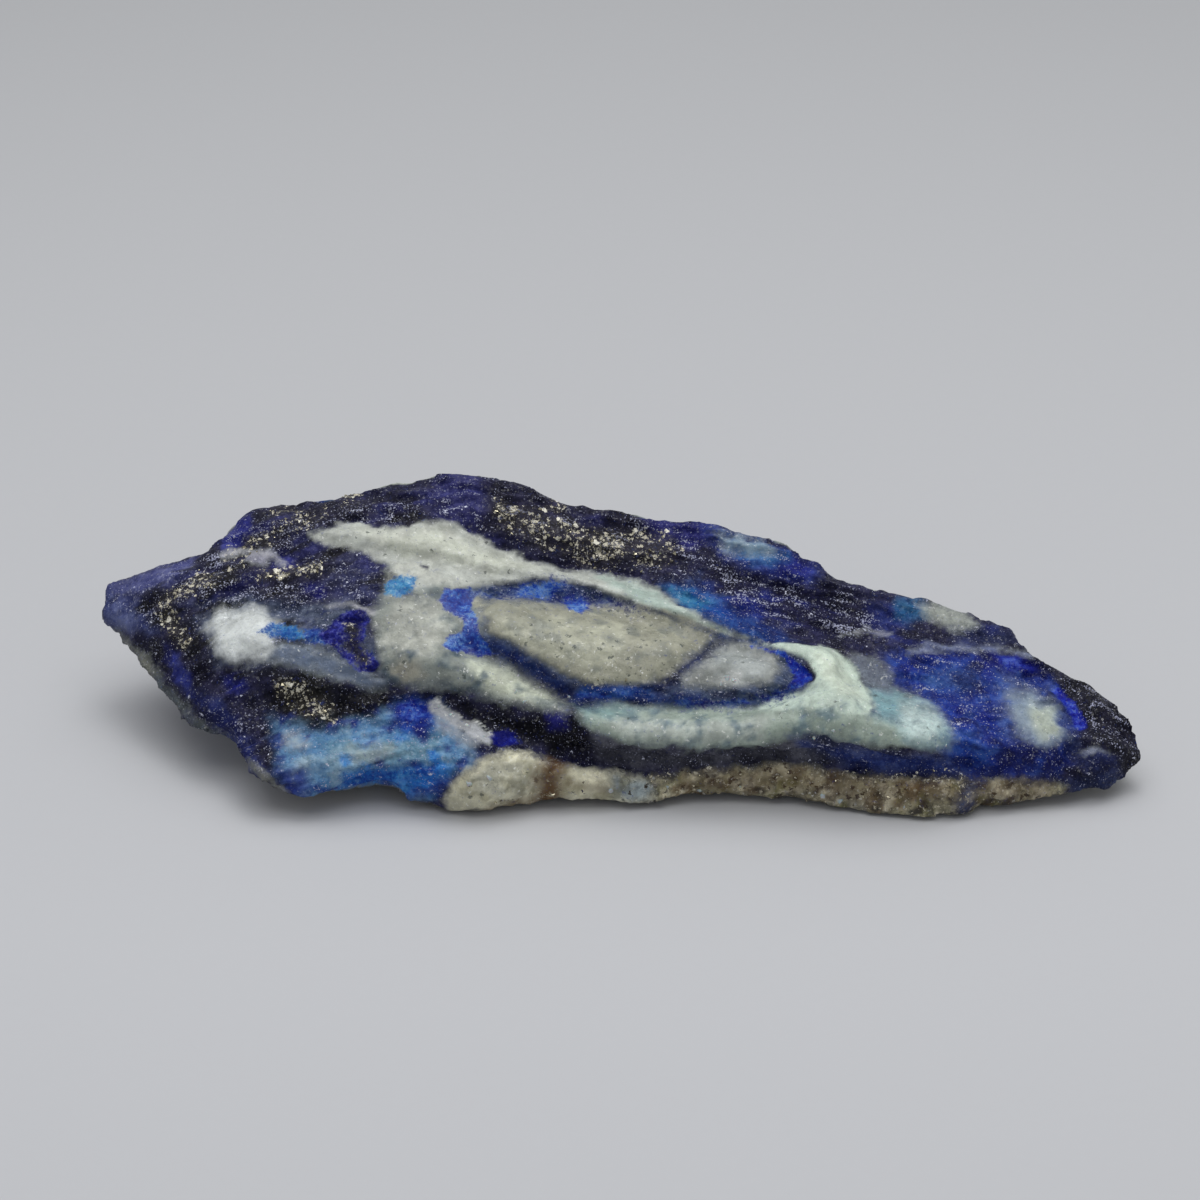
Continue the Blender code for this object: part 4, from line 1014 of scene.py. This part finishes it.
glints = add(tree, "Math", {0: face_pick.outputs["Blue"], 1: least}, operation="GREATER_THAN")
roughness = add(tree, "MapRange", {0: grain_pick.outputs["Blue"], 3: 0.30, 4: 0.55})
for value, socket in [
    (add(tree, "Math", {0: marble_amount, 1: 0.35}, operation="MULTIPLY"), "Subsurface Weight"),
    (add(tree, "MapRange", {0: marble_amount, 3: 0.16, 4: 0.40}), "Specular IOR Level"),
    (roughness, "Roughness"), (bump, "Normal"), (glints, "Coat Weight"), (tilted, "Coat Normal"),
]:
    tree.links.new(value.outputs[0], surface.inputs[socket])
surface.inputs["Coat Roughness"].default_value = 0.10
surface.inputs["IOR"].default_value = 1.53
surface.inputs["Subsurface Radius"].default_value = (1.0, 1.0, 0.9)
surface.inputs["Subsurface Scale"].default_value = 0.6 * MM
stone.data.materials.append(material)

# Pyrite: brassy grains that grew in the dark layers. The larger ones stand out of the break as
# angular shards, each half sunk in the skin, and are as shiny as when they grew.

PYRITE_COUNT = 1400
PYRITE_SIZE = (0.06, 0.42)
PYRITE_CORNERS = 8
PYRITE_TONES = ("#8f856a", "#e8e2c8")
TARNISH = 0.4 * MM
SUNK = 0.12

skin_normals = normals_of(stone)
skin_points = points_of(stone)
draw = random.Random(5)


def any_way():
    """A random direction in space."""
    return Vector((draw.gauss(0, 1), draw.gauss(0, 1), draw.gauss(0, 1))).normalized()


def grain_piece(name, spots, corners, flatness):
    """Small angular grains with this many corners, each sunk in the skin at one of its points."""
    bm = bmesh.new()
    for spot, size in spots:
        normal = Vector(skin_normals[spot])
        middle = Vector(skin_points[spot]) - SUNK * size * MM * normal
        upright = normal.to_track_quat("Z", "Y")
        added = []
        for _ in range(corners):
            local = any_way() * draw.uniform(0.7, 1.0)
            local.z *= flatness
            added.append(bm.verts.new(middle + upright @ local * size * MM / 2))
        bmesh.ops.convex_hull(bm, input=added)
    mesh = bpy.data.meshes.new(name)
    bm.to_mesh(mesh)
    bm.free()
    piece = bpy.data.objects.new(name, mesh)
    bpy.context.scene.collection.objects.link(piece)
    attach(piece, "root")
    return piece


def clouded(name, tones, size, detail):
    """A material whose colour drifts from one tone to another over this many metres."""
    made = bpy.data.materials.new(name)
    made.use_nodes = True
    tree = made.node_tree
    place = add(tree, "TexCoord").outputs["Object"]
    drift = add(tree, "TexNoise", {"Vector": place, "Scale": 1 / size, "Detail": detail})
    colour = add(tree, "Mix", {0: drift, 6: opaque(tones[0]), 7: opaque(tones[1])}, data_type="RGBA")
    tree.links.new(colour.outputs[2], tree.nodes["Principled BSDF"].inputs["Base Color"])
    return made


likely = np.cumsum(np.where(skin_points[:, 2] > 0.3 * MM, brassy ** 1.5, 0))
smallest, largest = PYRITE_SIZE
pyrite_spots = []
for _ in range(PYRITE_COUNT):
    spot = int(np.searchsorted(likely, draw.uniform(0, likely[-1])))
    pyrite_spots.append((spot, smallest + (largest - smallest) * draw.random() ** 4))
pyrite = grain_piece("pyrite_grains", pyrite_spots, PYRITE_CORNERS, 1.0)

# A metal: pale brass where it is bright, and greyer where it has tarnished.
pyrite_material = clouded("pyrite_as_grown", PYRITE_TONES, TARNISH, 2.0)
pyrite_surface = pyrite_material.node_tree.nodes["Principled BSDF"]
pyrite_surface.inputs["Metallic"].default_value = 1.0
pyrite_surface.inputs["Roughness"].default_value = 0.22
pyrite.data.materials.append(pyrite_material)

# Calcite crystals: clear grains that stand on the marble where it broke between them. Each is
# its size in millimetres and the pixel of the photograph at which it is seen.

CRYSTALS = [
    (0.9, (727, 678)), (0.6, (735, 682)), (0.5, (722, 684)), (0.45, (812, 738)), (0.5, (833, 730)),
    (0.4, (524, 702)), (0.5, (520, 676)), (0.45, (516, 690)), (0.4, (570, 697)), (0.45, (440, 706)),
    (0.5, (452, 714)), (0.5, (466, 724)), (0.5, (484, 736)), (0.6, (470, 784)), (0.5, (488, 778)),
    (0.5, (610, 790)), (0.6, (840, 800)), (0.5, (822, 797)), (0.5, (856, 804)), (0.45, (700, 790)),
    (0.4, (740, 786)), (0.4, (668, 788)), (0.4, (906, 806)), (0.4, (858, 670)), (0.35, (946, 746)),
]
CRYSTAL_CORNERS, CRYSTAL_FLATNESS = 12, 0.7
CRYSTAL_TONES = ("#98a1a6", "#cfd6d6")
CLOUDINESS = 0.5 * MM

faces_camera = skin_normals @ np.array(to_camera) > 0.1
skin_pixels = seen_at(skin_points)


def skin_point_at(pixel):
    """The number of the skin's point that is seen at a pixel."""
    off = np.linalg.norm(skin_pixels - np.array(pixel), axis=1) + 1000.0 * ~faces_camera
    return int(np.argmin(off))


crystal_spots = [(skin_point_at(pixel), size) for size, pixel in CRYSTALS]
crystals = grain_piece("calcite_crystals", crystal_spots, CRYSTAL_CORNERS, CRYSTAL_FLATNESS)

# Clear calcite, a little milky: light goes into it, and its faces are glassy.
crystal_material = clouded("clear_calcite", CRYSTAL_TONES, CLOUDINESS, 3.0)
crystal_surface = crystal_material.node_tree.nodes["Principled BSDF"]
crystal_surface.inputs["Roughness"].default_value = 0.25
crystal_surface.inputs["IOR"].default_value = 1.6
crystal_surface.inputs["Subsurface Weight"].default_value = 0.4
crystal_surface.inputs["Subsurface Scale"].default_value = 0.5 * MM
crystals.data.materials.append(crystal_material)

# The four largest flakes of pyrite, flat and split off along the layers: two on the lens, one on
# the crest and one near the pointed end.

CREAM_FLAKES = [(1.0, (581, 623)), (0.9, (600, 624)), (0.7, (551, 507)), (0.6, (298, 576))]
FLAKE_CORNERS, FLAKE_FLATNESS = 10, 0.25

flake_spots = [(skin_point_at(pixel), size) for size, pixel in CREAM_FLAKES]
cream_flakes = grain_piece("cream_flakes", flake_spots, FLAKE_CORNERS, FLAKE_FLATNESS)
cream_flakes.data.materials.append(pyrite_material)

# The floor: a plain sheet of matt backdrop paper with hardly any grain, with painted shade that
# makes it a little darker towards its back, where the light falls off.

FLOOR_SIDE = 4.0
PAPER_PALE, PAPER_IN_PAINTED_SHADE = "#c8c9cc", "#aeafb1"
PAPER_FIBRE = 0.8 * MM
PAINTED_SHADE_FROM, PAINTED_SHADE_TO = -25 * MM, 150 * MM

floor_mesh = bpy.data.meshes.new("floor")
half = FLOOR_SIDE / 2
floor_mesh.from_pydata(
    [(-half, -half, 0), (half, -half, 0), (half, half, 0), (-half, half, 0)], [], [(0, 1, 2, 3)]
)
floor = bpy.data.objects.new("floor", floor_mesh)
bpy.context.scene.collection.objects.link(floor)
paper = bpy.data.materials.new("matt_paper")
paper.use_nodes = True
paper_surface = paper.node_tree.nodes["Principled BSDF"]
paper_place = add(paper.node_tree, "TexCoord").outputs["Object"]
fibre = add(
    paper.node_tree, "TexNoise", {"Vector": paper_place, "Scale": 1 / PAPER_FIBRE, "Detail": 3.0}
)
depth_in = add(paper.node_tree, "SeparateXYZ", {0: paper_place}).outputs["Y"]
# Painted shade: the paper grows darker towards its back, mottled a little by its fibre.
painted_falloff = add(paper.node_tree, "MapRange", {0: depth_in, 1: PAINTED_SHADE_FROM, 2: PAINTED_SHADE_TO})
painted_falloff = add(paper.node_tree, "Math", {0: fibre, 1: 0.05, 2: painted_falloff}, operation="MULTIPLY_ADD")
paper_colour = add(
    paper.node_tree, "Mix",
    {0: painted_falloff, 6: opaque(PAPER_PALE), 7: opaque(PAPER_IN_PAINTED_SHADE)}, data_type="RGBA",
).outputs[2]
paper.node_tree.links.new(paper_colour, paper_surface.inputs["Base Color"])
paper_surface.inputs["Roughness"].default_value = 0.9
floor_mesh.materials.append(paper)

# The light: a wide soft box overhead in a bright pale room, and one small lamp behind the stone,
# which throws the shadow that lies under its front and makes the grains glint.

BOX_SIDE = 0.42
BOX_PLACE = Vector((0.0, 0.06, 0.32))
BOX_POWER = 0.71
LAMP_SIDE = 0.16
LAMP_PLACE = Vector((0.02, 0.10, 0.34))
LAMP_POWER = 0.25
ROOM_LIGHT = 0.44
ROOM_COLOUR = "#e6e8ec"


def light(name, side, place, power):
    """A square lamp with sides this long, turned to the stone."""
    data = bpy.data.lights.new(name, "AREA")
    data.size = side
    data.energy = power
    lamp = bpy.data.objects.new(name, data)
    lamp.location = place
    lamp.rotation_euler = place.to_track_quat("Z", "Y").to_euler()
    bpy.context.scene.collection.objects.link(lamp)


light("soft_box", BOX_SIDE, BOX_PLACE, BOX_POWER)
light("lamp", LAMP_SIDE, LAMP_PLACE, LAMP_POWER)
room = bpy.data.worlds.new("room")
room.use_nodes = True
room.node_tree.nodes["Background"].inputs["Color"].default_value = opaque(ROOM_COLOUR)
room.node_tree.nodes["Background"].inputs["Strength"].default_value = ROOM_LIGHT
bpy.context.scene.world = room
bpy.context.scene.view_settings.view_transform = "Standard"
